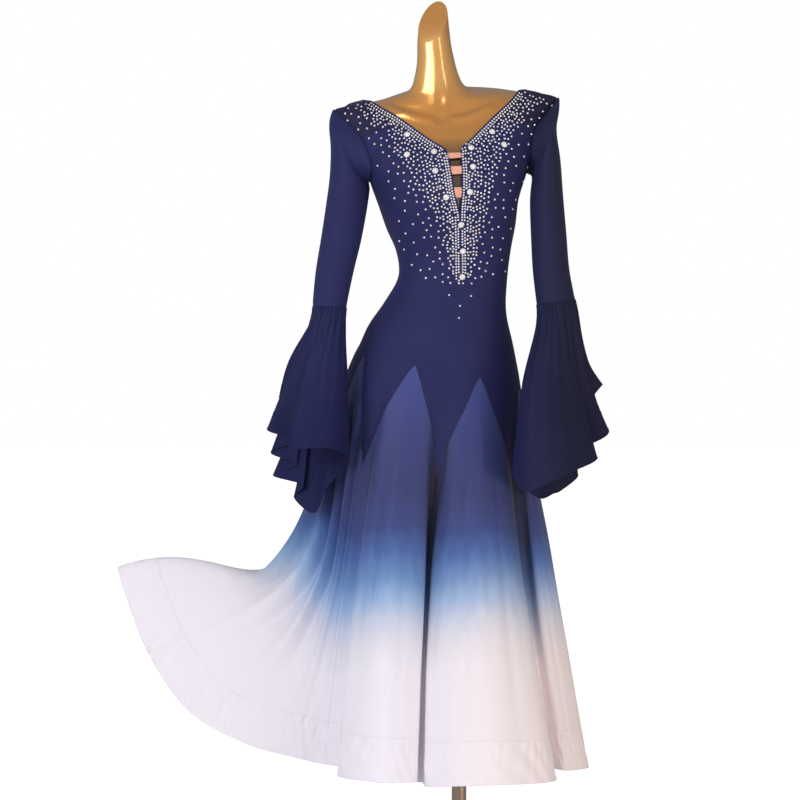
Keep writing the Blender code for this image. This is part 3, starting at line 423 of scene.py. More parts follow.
class Drape:
    """Cloth that hangs from a closed rim and passes through a table of folds."""

    def __init__(self, folds, rim, rim_slope):
        self.rim = rim
        self.angles = [fold.angle for fold in folds]
        self.lines = []
        for fold in folds:
            start = rim(fold.angle)
            slope = rim_slope(fold.angle)
            self.lines.append(meridian(start, slope, fold))

    def on_line(self, k, v):
        line = self.lines[k % len(self.lines)]
        place = min(max(v, -LEVEL_SLACK), 1.0 + LEVEL_SLACK) * MERIDIAN_STEPS
        i = min(max(int(place), 0), MERIDIAN_STEPS - 1)
        return line[i].lerp(line[i + 1], place - i)

    def angle_of(self, k):
        turns, index = divmod(k, len(self.angles))
        return self.angles[index] + 360.0 * turns

    def between(self, angle, v):
        """Smooth curve round the folds at one level."""
        angle = (angle - self.angles[0]) % 360.0 + self.angles[0]
        k = bisect_right(self.angles, angle) - 1
        stops = [self.angle_of(k + i) for i in (-1, 0, 1, 2)]
        points = [self.on_line(k + i, v) for i in (-1, 0, 1, 2)]
        span = stops[2] - stops[1]
        slope_in = (points[2] - points[0]) * (span / (stops[2] - stops[0]))
        slope_out = (points[3] - points[1]) * (span / (stops[3] - stops[1]))
        return hermite(points[1], points[2], slope_in, slope_out, (angle - stops[1]) / span)

    def point(self, angle, v):
        """The cloth at a level v, 0 on the rim and 1 at the hem."""
        place = self.between(angle, v)
        fade = max(0.0, 1.0 - max(v, 0.0) / RIM_FADE)
        return place + (self.rim(angle) - self.between(angle, 0.0)) * (fade * fade)

    def normal(self, angle, v):
        """Outward normal; levels run down, so the probe's own one points in."""
        return -surface_normal(self.point, angle, v, PROBE_ANGLE, PROBE_LEVEL)

    def stops(self, start, end):
        """Angles from start to end at every fold and half way between folds."""
        folds = [angle + turn for angle in self.angles for turn in (0.0, 360.0)]
        inside = sorted(angle for angle in folds if start + 0.1 < angle < end - 0.1)
        edges = [start] + inside + [end]
        stops = [start]
        for low, high in zip(edges, edges[1:]):
            stops += [(low + high) / 2, high]
        return stops


def hip_rim(angle):
    return body_point(angle, HIP_LINE)


def hip_slope(angle):
    """Direction in which the skirt leaves the hips, flared most on the wing's side."""
    a = math.radians(angle)
    down = (body_point(angle, HIP_LINE - PROBE_HEIGHT) - body_point(angle, HIP_LINE)).normalized()
    outward = Vector((math.sin(a), -math.cos(a), 0.0))
    return (down + outward * (HIP_FLARE + HIP_FLARE_SIDEWAYS * math.sin(a))).normalized()


SKIRT = Drape(SKIRT_FOLDS, hip_rim, hip_slope)


def sleeve_ring_point(arm, ring, angle):
    """A point on a sleeve ring: 0 is the outer side and 90 the front."""
    lean = math.radians(ring.lean)
    outward = Vector((ARM_SIDE[arm] * math.cos(lean), 0, math.sin(lean)))
    a = math.radians(angle)
    across = outward * (ring.half_width * math.cos(a))
    return Vector((ring.x, ring.y, ring.z)) + across - Vector((0, ring.half_depth * math.sin(a), 0))


def bell_drape(arm):
    cuff = SLEEVE_RINGS[arm][-1]
    above = SLEEVE_RINGS[arm][-2]

    def rim(angle):
        return sleeve_ring_point(arm, cuff, angle)

    def slope(angle):
        return (rim(angle) - sleeve_ring_point(arm, above, angle)).normalized()

    return Drape(BELL_FOLDS[arm], rim, slope)


def godet_edge_level(angle):
    """Level of the bodice's pointed lower edge at an angle round the hips."""
    from_peak = abs((angle % GODET_ANGLE) - GODET_ANGLE / 2)
    share = from_peak / (GODET_ANGLE / 2)
    return GODET_PEAK + (GODET_TIP - GODET_PEAK) * share**GODET_FLARE


# Materials


class Socket:
    """One output of a material's nodes; arithmetic on it adds the Math nodes."""

    def __init__(self, finish, socket):
        self.finish = finish
        self.socket = socket

    def maths(self, operation, *values):
        return self.finish.node("ShaderNodeMath", {"operation": operation}, dict(enumerate(values)))

    def __add__(self, other):
        return self.maths("ADD", self, other)

    def __radd__(self, other):
        return self.maths("ADD", other, self)

    def __sub__(self, other):
        return self.maths("SUBTRACT", self, other)

    def __rsub__(self, other):
        return self.maths("SUBTRACT", other, self)

    def __mul__(self, other):
        return self.maths("MULTIPLY", self, other)

    def __rmul__(self, other):
        return self.maths("MULTIPLY", other, self)

    def __truediv__(self, other):
        return self.maths("DIVIDE", self, other)

    def clamped(self):
        """The value kept between 0 and 1."""
        return self.finish.node("ShaderNodeClamp", None, {0: self})


class Finish:
    """A Principled material with its constant values set on the shader's own sockets."""

    def __init__(self, name, **values):
        self.material = bpy.data.materials.new(name)
        self.material.use_nodes = True
        self.tree = self.material.node_tree
        self.shader = self.tree.nodes["Principled BSDF"]
        for socket, value in values.items():
            self.shader.inputs[socket.replace("_", " ")].default_value = value

    def node(self, kind, settings=None, inputs=None, output=0):
        """Adds a node: its settings first, then the values or links of its sockets."""
        made = self.tree.nodes.new(kind)
        for key, value in (settings or {}).items():
            if key == "stops":
                ramp = made.color_ramp
                while len(ramp.elements) < len(value):
                    ramp.elements.new(1.0)
                for element, (position, colour) in zip(ramp.elements, value):
                    element.position = position
                    element.color = colour
            else:
                setattr(made, key, value)
        for key, value in (inputs or {}).items():
            if isinstance(value, Socket):
                self.tree.links.new(value.socket, made.inputs[key])
            else:
                made.inputs[key].default_value = value
        return Socket(self, made.outputs[output])

    def feed(self, **links):
        for socket, value in links.items():
            self.tree.links.new(value.socket, self.shader.inputs[socket.replace("_", " ")])

    def place(self):
        return self.node("ShaderNodeTexCoord", output="Object")

    def attribute(self, name):
        return self.node("ShaderNodeAttribute", {"attribute_name": name}, output="Fac")

    def part_of(self, vector, axis):
        return self.node("ShaderNodeSeparateXYZ", None, {0: vector}, axis)

    def between(self, value, start, end):
        """0 at the start value and 1 at the end value, kept between them outside."""
        return self.node("ShaderNodeMapRange", {"clamp": True}, {0: value, 1: start, 2: end})

    def stretched(self, vector, scale):
        return self.node("ShaderNodeMapping", None, {"Vector": vector, "Scale": scale})

    def noise(self, vector, scale, detail=2.0):
        inputs = {"Vector": vector, "Scale": scale, "Detail": detail}
        return self.node("ShaderNodeTexNoise", None, inputs)

    def waves(self, vector, scale, direction):
        settings = {"wave_type": "BANDS", "bands_direction": direction}
        return self.node("ShaderNodeTexWave", settings, {"Vector": vector, "Scale": scale}, "Fac")

    def ramp(self, value, stops):
        return self.node("ShaderNodeValToRGB", {"stops": stops}, {"Fac": value}, "Color")

    def mixed(self, share, first, second):
        inputs = {0: share, 6: first, 7: second}
        return self.node("ShaderNodeMix", {"data_type": "RGBA"}, inputs, 2)

    def far_painted_shade(self, place):
        """How far a point is towards the left arm, on +X, where painted shade darkens the cloth."""
        return ((self.part_of(place, "X") - FAR_SHADE_FROM) * FAR_SHADE_RISE).clamped() * FAR_SHADE_SHARE

    def bump(self, height, strength, distance):
        inputs = {"Height": height, "Strength": strength, "Distance": distance}
        self.feed(Normal=self.node("ShaderNodeBump", None, inputs))

    def threads(self, place, count, columns, fuzz, strength):
        """The bump of a knit or weave: its columns and rows, and the fuzz over them."""
        cloth = self.node("ShaderNodeTexCoord", output="UV")
        rows = self.waves(cloth, count, "Y") * (1.0 - columns)
        crossed = self.waves(cloth, count, "X") * columns + rows
        height = crossed * (1.0 - FUZZ_SHARE) + self.noise(place, fuzz) * FUZZ_SHARE
        self.bump(height, strength, THREAD_HEIGHT)


def linear(red, green, blue):
    """A colour as shown on a screen, 0 to 255, made linear by the sRGB curve."""
    colour = []
    for value in (red / 255, green / 255, blue / 255):
        colour.append(value / 12.92 if value <= 0.04045 else ((value + 0.055) / 1.055) ** 2.4)
    return (*colour, 1.0)


# Painted shade towards the far arm, darker and less blue than the navy: its colour, where it starts
# across the dress, how fast it comes in per metre, and its greatest share.
FAR_PAINTED_SHADE = linear(27, 27, 42)
FAR_SHADE_FROM = 0.08
FAR_SHADE_RISE = 9.0
FAR_SHADE_SHARE = 0.75
# Threads to the metre of a knit and of a weave, as scales of the wave texture.
KNIT = 300.0
WEAVE = 420.0
THREAD_HEIGHT = 0.0003
FUZZ_SHARE = 0.4
# The dyed chiffon: how far the dye drifts and streaks, the levels between which it turns pale, how
# painted light of a warmer tint comes in across the skirt towards +X, and where the painted shade on the
# wing starts, how fast it comes in, its greatest share and its colour.
DYE_DRIFT = 0.03
DYE_STREAKS = 0.05
PALE_LEVELS = (0.50, 0.75)
WARM_LIGHT_RISE = 2.2
WARM_LIGHT_AT_CENTRE = 0.22
WING_FROM = 0.16
WING_RISE = 5.0
WING_SHARE = 0.16
WING_PAINTED_SHADE = linear(205, 197, 204)


def jersey_finish(name, light, dark, **values):
    """Fine knitted jersey: two close tones, painted shade towards the left arm, and the columns of its
    stitches in the bump.
    """
    finish = Finish(
        name, Roughness=0.72, Specular_IOR_Level=0.22, Sheen_Weight=0.08, Sheen_Roughness=0.4,
        Sheen_Tint=(0.45, 0.48, 0.95, 1.0), **values,
    )
    place = finish.place()
    tone = finish.mixed(finish.noise(place, 7.0, 3.0), dark, light)
    # Painted shade: the knit is darkened towards the left arm.
    finish.feed(Base_Color=finish.mixed(finish.far_painted_shade(place), tone, FAR_PAINTED_SHADE))
    finish.threads(place, KNIT, columns=0.6, fuzz=1400.0, strength=0.25)
    return finish.material


def bell_finish(name, light, dark, sheer):
    """Navy chiffon: paler and thinner where it is gathered, as its level attribute says, and darkened by
    painted shade towards the left arm.
    """
    finish = Finish(
        name, Roughness=0.6, Specular_IOR_Level=0.12, Sheen_Weight=0.04, Sheen_Roughness=0.45,
        Sheen_Tint=(0.5, 0.55, 1.0, 1.0),
    )
    place = finish.place()
    streak = finish.noise(finish.stretched(place, (150.0, 150.0, 12.0)), 1.0)
    share = ((1 - finish.attribute("level")) * 0.7 + (streak - 0.5) * 1.2 - 0.1).clamped()
    tone = finish.mixed(finish.noise(place, 9.0), dark, light)
    gathered = finish.mixed(share * 0.45, tone, sheer)
    # Painted shade: the chiffon is darkened towards the left arm.
    finish.feed(Base_Color=finish.mixed(finish.far_painted_shade(place), gathered, FAR_PAINTED_SHADE))
    finish.threads(place, WEAVE, columns=0.5, fuzz=900.0, strength=0.12)
    return finish.material


def shaded_finish(name, stops, warm_light_tint, painted_shade_colour):
    """Chiffon dyed in a gradient that follows the cloth from its seam to its hem, with painted light of a
    warmer tint towards +X, painted shade on the wing, and painted shade where its depth attribute says.
    """
    finish = Finish(
        name, Roughness=0.6, Specular_IOR_Level=0.25, Sheen_Weight=0.12, Sheen_Roughness=0.5,
    )
    place = finish.place()
    level = finish.attribute("level")
    drift = finish.noise(place, 5.0) - 0.5
    streaks = finish.noise(finish.stretched(place, (60.0, 60.0, 4.0)), 1.0) - 0.5
    dyed = finish.ramp(level + drift * DYE_DRIFT + streaks * DYE_STREAKS, stops)
    across = finish.part_of(place, "X")
    pale = finish.between(level, *PALE_LEVELS)
    # Painted light: a warmer tint on the pale cloth towards +X.
    share = (across * WARM_LIGHT_RISE + WARM_LIGHT_AT_CENTRE).clamped()
    warm_lit = finish.mixed(pale * share, dyed, warm_light_tint)
    # Painted shade: the pale cloth of the wing is greyed towards -X.
    wing = ((0 - across - WING_FROM) * WING_RISE).clamped()
    painted_wing_shade = finish.mixed(pale * wing * WING_SHARE, warm_lit, WING_PAINTED_SHADE)
    # Painted shade: the depth attribute mixes in a near black.
    finish.feed(Base_Color=finish.mixed(finish.attribute("depth"), painted_wing_shade, painted_shade_colour))
    finish.threads(place, WEAVE, columns=0.5, fuzz=900.0, strength=0.12)
    return finish.material


# Sheets of cloth


def laid_grid(columns, rows, place, relief=None, values=None, turned=False):
    """A fine grid laid on a surface: place gives the point at u across and v along, 0 to 1,
    relief how far it stands out there, and values what each attribute is there."""
    bm = bmesh.new()
    bmesh.ops.create_grid(bm, x_segments=columns, y_segments=rows, size=0.5)
    cloth = bm.loops.layers.uv.new("UVMap")
    for face in bm.faces:
        for loop in face.loops:
            loop[cloth].uv = (loop.vert.co.x + 0.5, loop.vert.co.y + 0.5)
    for vert in bm.verts:
        vert.co = place(vert.co.x + 0.5, vert.co.y + 0.5)
    bmesh.ops.remove_doubles(bm, verts=bm.verts, dist=MERGE)
    if turned:
        bmesh.ops.reverse_faces(bm, faces=bm.faces)
    bm.normal_update()
    layers = [(bm.verts.layers.float.new(name), value) for name, value in (values or {}).items()]
    for vert in bm.verts:
        u, v = vert.link_loops[0][cloth].uv
        for layer, value in layers:
            vert[layer] = value(u, v)
        if relief:
            vert.co += vert.normal * relief(u, v)
    return bm


THREAD_SIDES = 6


def sewn_line(rows, radius, path, values=None, closed=False):
    """A round thread or rolled edge along a line of the cloth; path gives the point and
    the outward normal at v, 0 to 1."""

    def place(u, v):
        step = 0.5 / rows
        if closed:
            low, high = (v - step) % 1.0, (v + step) % 1.0
        else:
            low, high = max(v - step, 0.0), min(v + step, 1.0)
        point, normal = path(v)
        along = (path(high)[0] - path(low)[0]).normalized()
        across = along.cross(normal).normalized()
        turn = 2 * math.pi * u
        return point + (normal * math.cos(turn) + across * math.sin(turn)) * radius

    return laid_grid(THREAD_SIDES, rows, place, values=values)


def sized_map(bm, width, length):
    """Makes the map of a sheet read in metres, so that a weave keeps its real size."""
    cloth = bm.loops.layers.uv.active
    for face in bm.faces:
        for loop in face.loops:
            u, v = loop[cloth].uv
            loop[cloth].uv = (u * width, v * length)


def piece(name, bm, finish, nodes=(), wall=None, smooth=True):
    """The finished piece: its mesh, material, wall, and the solids that it stands for."""
    for edge in bm.edges:
        edge.smooth = not edge.is_boundary
    mesh = bpy.data.meshes.new(name)
    bm.to_mesh(mesh)
    bm.free()
    if smooth:
        mesh.shade_smooth()
    made = bpy.data.objects.new(name, mesh)
    bpy.context.scene.collection.objects.link(made)
    mesh.materials.append(finish)
    if wall:
        shell = made.modifiers.new("wall", "SOLIDIFY")
        shell.thickness = wall
        shell.offset = 0.0
    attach(made, "root")
    if nodes:
        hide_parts(*nodes)
    return made


def row_point(row, facing, side, share):
    """A point on one row of a bodice panel, share from its centre to its side."""
    reach = row.centre_angle + (row.side_angle - row.centre_angle) * share
    height = row.centre_height + (row.side_height - row.centre_height) * share
    return body_point(facing + side * reach, height)


def smooth_point(points, place):
    """A point on a smooth curve through the points, place counted in points."""
    k = min(max(int(place), 0), len(points) - 2)
    lengths = [(b - a).length for a, b in zip(points, points[1:])]
    slopes = []
    for i in (k, k + 1):
        low, high = max(i - 1, 0), min(i + 1, len(points) - 1)
        slopes.append((points[high] - points[low]) / sum(lengths[low:high]) * lengths[k])
    return hermite(points[k], points[k + 1], *slopes, place - k)


PANEL_LINES = {}


def panel_point(rows, facing, side, share, along):
    """A bodice panel's point: share from the centre to the side, along from -1 at the pointed
    lower edge through 0 at the hip line to the table's rows."""
    if along < 0:
        angle = facing + side * 90.0 * share
        return SKIRT.point(angle, -along * godet_edge_level(angle))
    key = (facing, side, round(share * 10000))
    if key not in PANEL_LINES:
        PANEL_LINES[key] = [row_point(row, facing, side, share) for row in rows]
    return smooth_point(PANEL_LINES[key], along)


def joined(*parts):
    """Several bmeshes as one, merged where they meet."""
    whole = bmesh.new()
    whole.loops.layers.uv.new("UVMap")
    for bm in parts:
        mesh = bpy.data.meshes.new("part")
        bm.to_mesh(mesh)
        bm.free()
        whole.from_mesh(mesh)
        bpy.data.meshes.remove(mesh)
    bmesh.ops.remove_doubles(whole, verts=whole.verts, dist=MERGE)
    return whole


LOWER_ROWS = 24
STEPS_TO_A_ROW = 7
PANEL_COLUMNS = 48


def panel_halves(rows, facing, top):
    """Both halves of a front or back panel, up to the table's row top; they join at the
    centre, where the table's rows start at no angle from it."""
    parts = []
    steps = top * STEPS_TO_A_ROW
    for side in (-1, 1):

        def place(u, v, side=side):
            share = u if side == 1 else 1 - u
            along = v * (steps + LOWER_ROWS) - LOWER_ROWS
            along = along / LOWER_ROWS if along < 0 else along / steps * top
            return panel_point(rows, facing, side, share, along)

        parts.append(laid_grid(PANEL_COLUMNS, steps + LOWER_ROWS, place))
    return joined(*parts)


# The dress


def seam_dip(distance, width, depth):
    """How far cloth is drawn in beside a seam."""
    share = max(0.0, 1.0 - distance / width)
    return -depth * share * share * (3 - 2 * share)


navy = jersey_finish("navy_jersey", linear(41, 43, 95), linear(33, 35, 78))
mesh_finish = jersey_finish("power_mesh", linear(44, 42, 82), linear(34, 32, 64), Alpha=0.9)
chiffon_navy = bell_finish("navy_chiffon", linear(31, 34, 80), linear(25, 28, 66), linear(48, 51, 92))
DYE = [
    (0.00, linear(65, 74, 137)),
    (0.12, linear(61, 69, 129)),
    (0.20, linear(57, 64, 119)),
    (0.33, linear(54, 60, 112)),
    (0.42, linear(57, 71, 127)),
    (0.48, linear(73, 102, 163)),
    (0.54, linear(105, 139, 191)),
    (0.59, linear(147, 175, 215)),
    (0.635, linear(191, 201, 224)),
    (0.69, linear(221, 218, 231)),
    (0.76, linear(234, 230, 241)),
    (1.00, linear(240, 235, 246)),
]
# The pale warmer colour is painted light on the +X side of the skirt; the near black is painted shade in
# the valleys and along the seams.
shaded = shaded_finish("shaded_chiffon", DYE, linear(244, 226, 218), linear(20, 21, 36))
satin = Finish("peach_satin", Roughness=0.3, Sheen_Weight=0.3, Sheen_Roughness=0.3)
sheen = satin.noise(satin.place(), 60.0)
satin.feed(Base_Color=satin.mixed(sheen, linear(226, 160, 136), linear(240, 184, 160)))
satin_map = satin.node("ShaderNodeTexCoord", output="UV")
satin.bump(satin.waves(satin_map, 400.0, "Y"), 0.2, 0.0002)

front_panel = panel_halves(FRONT_ROWS, 0.0, YOKE_ROW)
back_panel = panel_halves(BACK_ROWS, 180.0, len(BACK_ROWS) - 1)
piece("bodice_front_cloth", front_panel, navy, ["bodice_front"], JERSEY)
piece("bodice_back_cloth", back_panel, navy, ["bodice_back"], JERSEY)

for name, side in (("right", -1), ("left", 1)):

    def yoke_place(u, v, side=side):
        share = u if side == 1 else 1 - u
        along = YOKE_ROW + v * (len(FRONT_ROWS) - 1 - YOKE_ROW)
        return panel_point(FRONT_ROWS, 0.0, side, share, along)

    bm = laid_grid(40, 28, yoke_place)
    piece(f"yoke_{name}_cloth", bm, mesh_finish, [f"yoke_{name}"], JERSEY)


# How much further down the dye runs at each angle round the hips than on the front fold: partly the dye's
# own run, and partly painted shade that keeps the shadowed valleys by the front folds bluer further down.
DYE_RUN_AND_PAINTED_SHADE = [
    (-105, 0.00), (-97, -0.01), (-88, -0.03), (-76, -0.01), (-62, 0.02), (-50, 0.045), (-41, 0.04),
    (-33, 0.01), (-22, -0.01), (-8, -0.005), (2, 0.00), (10, -0.015), (28, -0.03), (42, -0.02),
    (53, 0.02), (64, -0.02), (85, -0.02), (130, 0.00), (180, 0.02), (230, 0.01), (255, 0.00),
]
# Painted shade in the valleys between the folds: angle, half width and how dark the painted shade makes
# the cloth in them.
PAINTED_VALLEY_SHADES = [(-1, 8.0, 0.95), (45, 7.5, 0.85), (55, 5.0, 0.90), (98, 6.0, 0.55), (-97, 2.5, 0.30)]
# Creases in the hanging skirt: the angles where each starts and ends, its half width in
# degrees, how far it stands out, and the levels between which it runs.
Crease = namedtuple("Crease", "start end width height top bottom")
CREASES = [
    Crease(-94, -96, 1.8, -0.0040, 0.25, 0.85),
    Crease(-84, -89, 3.4, 0.0140, 0.15, 0.90),
    Crease(-77, -83, 2.6, -0.0120, 0.15, 0.84),
    Crease(-70, -75, 2.6, 0.0120, 0.14, 0.92),
    Crease(-64, -68, 2.2, -0.0110, 0.14, 0.82),
    Crease(-58, -61, 2.0, 0.0065, 0.13, 0.90),
    Crease(-53, -54, 1.6, -0.0060, 0.13, 0.96),
    Crease(-48, -49, 1.3, 0.0045, 0.12, 0.85),
    Crease(-29, -29, 1.6, -0.0022, 0.20, 0.90),
    Crease(-24, -25, 1.8, 0.0020, 0.14, 0.75),
    Crease(-17, -18, 1.5, -0.0022, 0.22, 0.96),
    Crease(-10, -9, 1.5, 0.0020, 0.18, 0.90),
    Crease(12, 11, 1.6, 0.0022, 0.16, 0.80),
    Crease(17, 18, 1.5, -0.0026, 0.22, 0.96),
    Crease(24, 22, 2.0, 0.0024, 0.14, 0.85),
    Crease(31, 31, 1.6, -0.0026, 0.25, 0.97),
    Crease(38, 40, 1.7, 0.0022, 0.18, 0.92),
    Crease(60, 60, 1.8, 0.0020, 0.15, 0.90),
    Crease(68, 70, 1.8, -0.0024, 0.20, 0.95),
]
# Behind, creases in and out follow each other every few degrees.
for k, angle in enumerate(range(84, 252, 9)):
    CREASES.append(Crease(angle, angle + 2, 2.4, 0.0025 * (-1) ** k, 0.18, 0.92))
CREASE_REACH = 3
WRINKLE = 0.0011
WRINKLES_ROUND = 9
WRINKLES_DOWN = 6


def table_value(table, angle):
    """A value from a table of angles, smoothed between its rows."""
    turned = (angle + 105.0) % 360.0 - 105.0
    row = max(bisect_right([a for a, _ in table], turned) - 1, 0)
    after = table[row + 1] if row + 1 < len(table) else (table[0][0] + 360.0, table[0][1])
    share = min(max((turned - table[row][0]) / (after[0] - table[row][0]), 0.0), 1.0)
    return table[row][1] + (after[1] - table[row][1]) * share * share * (3 - 2 * share)


def apart(angle, other):
    """Degrees between two angles, at most 180."""
    return abs((angle - other + 180.0) % 360.0 - 180.0)


def rise(value, start, length):
    """0 up to the start value, 1 from the start plus the length."""
    return min(max((value - start) / length, 0.0), 1.0)


def swell(share):
    """Rises from 0 at the ends of a crease to 1 at its middle."""
    return math.sin(math.pi * share) ** 0.7


def skirt_relief(angle, level):
    """How far the hanging cloth stands out in its creases and small wrinkles."""
    height = 0.0
    for crease in CREASES:
        share = (level - crease.top) / (crease.bottom - crease.top)
        if 0 < share < 1:
            off = apart(angle, crease.start + (crease.end - crease.start) * share) / crease.width
            if off < CREASE_REACH:
                height += crease.height * swell(share) * math.exp(-off * off)
    turn = math.radians(angle)
    round_x, round_y = math.cos(turn) * WRINKLES_ROUND, math.sin(turn) * WRINKLES_ROUND
    soft = noise.noise(Vector((round_x, round_y, level * WRINKLES_DOWN)))
    return height + WRINKLE * soft * rise(level, 0.1, 0.2)


def dye_level(angle, level):
    """Where the cloth is in the gradient of its dye, moved down in places by painted shade."""
    return level - table_value(DYE_RUN_AND_PAINTED_SHADE, angle) * rise(level, 0.25, 0.2)


def painted_valley_shade(angle, level):
    """How much painted shade darkens the cloth between two folds; the painted shade lightens towards the
    hem.
    """
    shade_fade = max(0.0, 1.0 - max(level - 0.42, 0.0) / 0.32)
    lift = min(level / 0.25, 1.0)
    depths = []
    for middle, width, dark in PAINTED_VALLEY_SHADES:
        depths.append(dark * math.exp(-((apart(angle, middle) / width) ** 2)))
    return max(depths) * shade_fade * lift


def skirt_values(spot):
    """The dye and depth attributes of a sheet whose spot gives the angle and level; depth is the painted
    shade of the valleys.
    """
    return {
        "level": lambda u, v: dye_level(*spot(u, v)),
        "depth": lambda u, v: painted_valley_shade(*spot(u, v)),
    }


SEAM_WIDTH = 0.004
SEAM_LIFT = 0.0001
SEAM_DEPTH = 0.0003
# Rough widths of a godet at its top and how much it widens, its length, and the depth of a
# hem band: they turn shares of the cloth into metres beside its seams.
TOP_WIDTH = 0.10
WIDENING = 0.35
GODET_LENGTH = 0.6
BAND_DEPTH = 0.07
GODET_GRID = (64, 110)
BAND_COLUMNS = 110
BAND_ROWS = 20
# The hem bands numbered from 0 that hang on the wing, where the hem is longest.
WING_BANDS = (5, 6)
PUCKER = 0.0014


def puckers(angle, v):
    """Small folds that the seam of a hem band draws in it, slanting on the wing."""
    turn = math.radians(angle)
    sway = 2 * math.sin(turn * 19)
    upright = math.cos(turn * 150 + 5 * v + 2 * math.sin(turn * 31)) * math.exp(-2.2 * v)
    slant = 0.7 * math.cos(turn * 83 - 9 * v + sway)
    wing = max(0.0, 1.0 - (apart(angle, -84) / 25) ** 2)
    slant += 1.3 * wing * math.cos(turn * 230 - 15 * v + sway)
    soft = 0.5 + noise.noise(Vector((angle * 0.21, 3.7, v)))
    return PUCKER * soft * (upright + slant) * min(v / 0.12, 1.0)


for number in range(GODETS):
    start = GODET_ANGLE * number

    def spot(u, v, start=start):
        angle = start + GODET_ANGLE * u
        top = godet_edge_level(angle)
        return angle, top + (BAND_LEVEL - top) * v

    def place(u, v, spot=spot):
        return SKIRT.point(*spot(u, v))

    def relief(u, v, spot=spot):
        angle, level = spot(u, v)
        from_seam = min(min(u, 1 - u) * (TOP_WIDTH + WIDENING * level), (1 - v) * GODET_LENGTH)
        return skirt_relief(angle, level) + seam_dip(from_seam, SEAM_WIDTH, SEAM_DEPTH)

    bm = laid_grid(*GODET_GRID, place, relief, skirt_values(spot), turned=True)
    sized_map(bm, 0.30, 0.70)
    nodes = [f"godet_{number + 1}"]
    piece(f"godet_cloth_{number + 1}", bm, shaded, nodes, CHIFFON)

    def band_spot(u, v, start=start):
        return start + GODET_ANGLE * u, BAND_LEVEL + (1 - BAND_LEVEL) * v

    def band_place(u, v, spot=band_spot):
        return SKIRT.point(*spot(u, v))

    def band_relief(u, v, spot=band_spot):
        angle, level = spot(u, v)
        drawn = seam_dip(v * BAND_DEPTH, SEAM_WIDTH, SEAM_DEPTH)
        return skirt_relief(angle, level) + puckers(angle, v) + drawn

    columns = BAND_COLUMNS * 2 if number in WING_BANDS else BAND_COLUMNS
    values = skirt_values(band_spot)
    bm = laid_grid(columns, BAND_ROWS, band_place, band_relief, values, turned=True)
    sized_map(bm, 0.40, BAND_DEPTH)
    nodes = [f"hem_band_{number + 1}"]
    piece(f"hem_cloth_{number + 1}", bm, shaded, nodes, CHIFFON)


def skirt_line(angle, level):
    """A point just outside the skirt, with its creases, and the cloth's normal there."""
    normal = SKIRT.normal(angle, level)
    return SKIRT.point(angle, level) + normal * (skirt_relief(angle, level) + SEAM_LIFT), normal


def round_skirt(level):
    return lambda v: skirt_line(360.0 * v, level)


def round_values(level):
    return skirt_values(lambda u, v: (360.0 * v, level))


def stitched(values, shade):
    """The attributes of a seam, with painted shade added to its depth so that it is a little darker than
    the cloth beside it.
    """
    darker = dict(values)
    darker["depth"] = lambda u, v: min(values["depth"](u, v) + shade, 1.0)
    return darker


HEM_STEPS = 900
ZIGZAG_STEPS = 960
SEAM_STEPS = 160
BAND_THREAD = 0.0005
GODET_THREAD = 0.0004
ROLLED_EDGE = 0.0011
# How much painted shade darkens each seam beyond the cloth, the one in front on the left most of all:
# partly the seam's own line and partly painted shadow of its seam allowance.
BAND_SEAM_PAINTED_SHADE = 0.10
SEAM_PAINTED_SHADE = 0.03
FRONT_SEAM = 315
FRONT_SEAM_PAINTED_SHADE = 0.16

thread_values = stitched(round_values(BAND_LEVEL), BAND_SEAM_PAINTED_SHADE)
bm = sewn_line(HEM_STEPS, BAND_THREAD, round_skirt(BAND_LEVEL), thread_values, closed=True)
piece("band_seam", bm, shaded)
bm = sewn_line(HEM_STEPS, ROLLED_EDGE, round_skirt(1.0), round_values(1.0), closed=True)
piece("rolled_hem", bm, shaded)
# The zigzag seam takes most of the painted shade: partly the seam's own dark line and partly painted
# shadow along the navy edge.
zigzag = sewn_line(
    ZIGZAG_STEPS, ROLLED_EDGE, lambda v: skirt_line(360.0 * v, godet_edge_level(360.0 * v)),
    {"level": lambda u, v: 0.0, "depth": lambda u, v: 0.8}, closed=True,
)
piece("zigzag_seam", zigzag, shaded)
for number in range(GODETS):
    angle = GODET_ANGLE * number
    top = godet_edge_level(angle)

    def seam_spot(u, v, angle=angle, top=top):
        return angle, top + (1.0 - top) * v

    def seam_path(v, spot=seam_spot):
        return skirt_line(*spot(0, v))

    shade = FRONT_SEAM_PAINTED_SHADE if angle == FRONT_SEAM else SEAM_PAINTED_SHADE
    bm = sewn_line(SEAM_STEPS, GODET_THREAD, seam_path, stitched(skirt_values(seam_spot), shade))
    piece(f"godet_seam_{number + 1}", bm, shaded)


def armhole_points(side):
    """Round an armhole: shoulder, front, armpit, back; with the outward normals."""
    last = len(FRONT_ROWS) - 1
    places = [(side * row.side_angle, row.side_height) for row in reversed(FRONT_ROWS[ARMPIT_ROW:])]
    places += [(180.0 - side * row.side_angle, row.side_height) for row in BACK_ROWS[ARMPIT_ROW + 1:last]]
    return [(body_point(*place), body_normal(*place)) for place in places]


def loop_point(points, turn):
    """A point on a smooth closed curve through the points, turn from 0 to 1."""
    count = len(points)
    k = int(turn * count)
    s = turn * count - k
    p = [points[(k + i) % count] for i in (-1, 0, 1, 2)]
    return hermite(p[1], p[2], (p[2] - p[0]) / 2, (p[3] - p[1]) / 2, s)


def loop_pair(hole, turn):
    """The point and normal on the armhole's line."""
    count = len(hole)
    k = int(turn * count) % count
    normal = hole[k][1].lerp(hole[(k + 1) % count][1], turn * count - int(turn * count)).normalized()
    return loop_point([point for point, _ in hole], turn) + normal * (LAP + JERSEY), normal


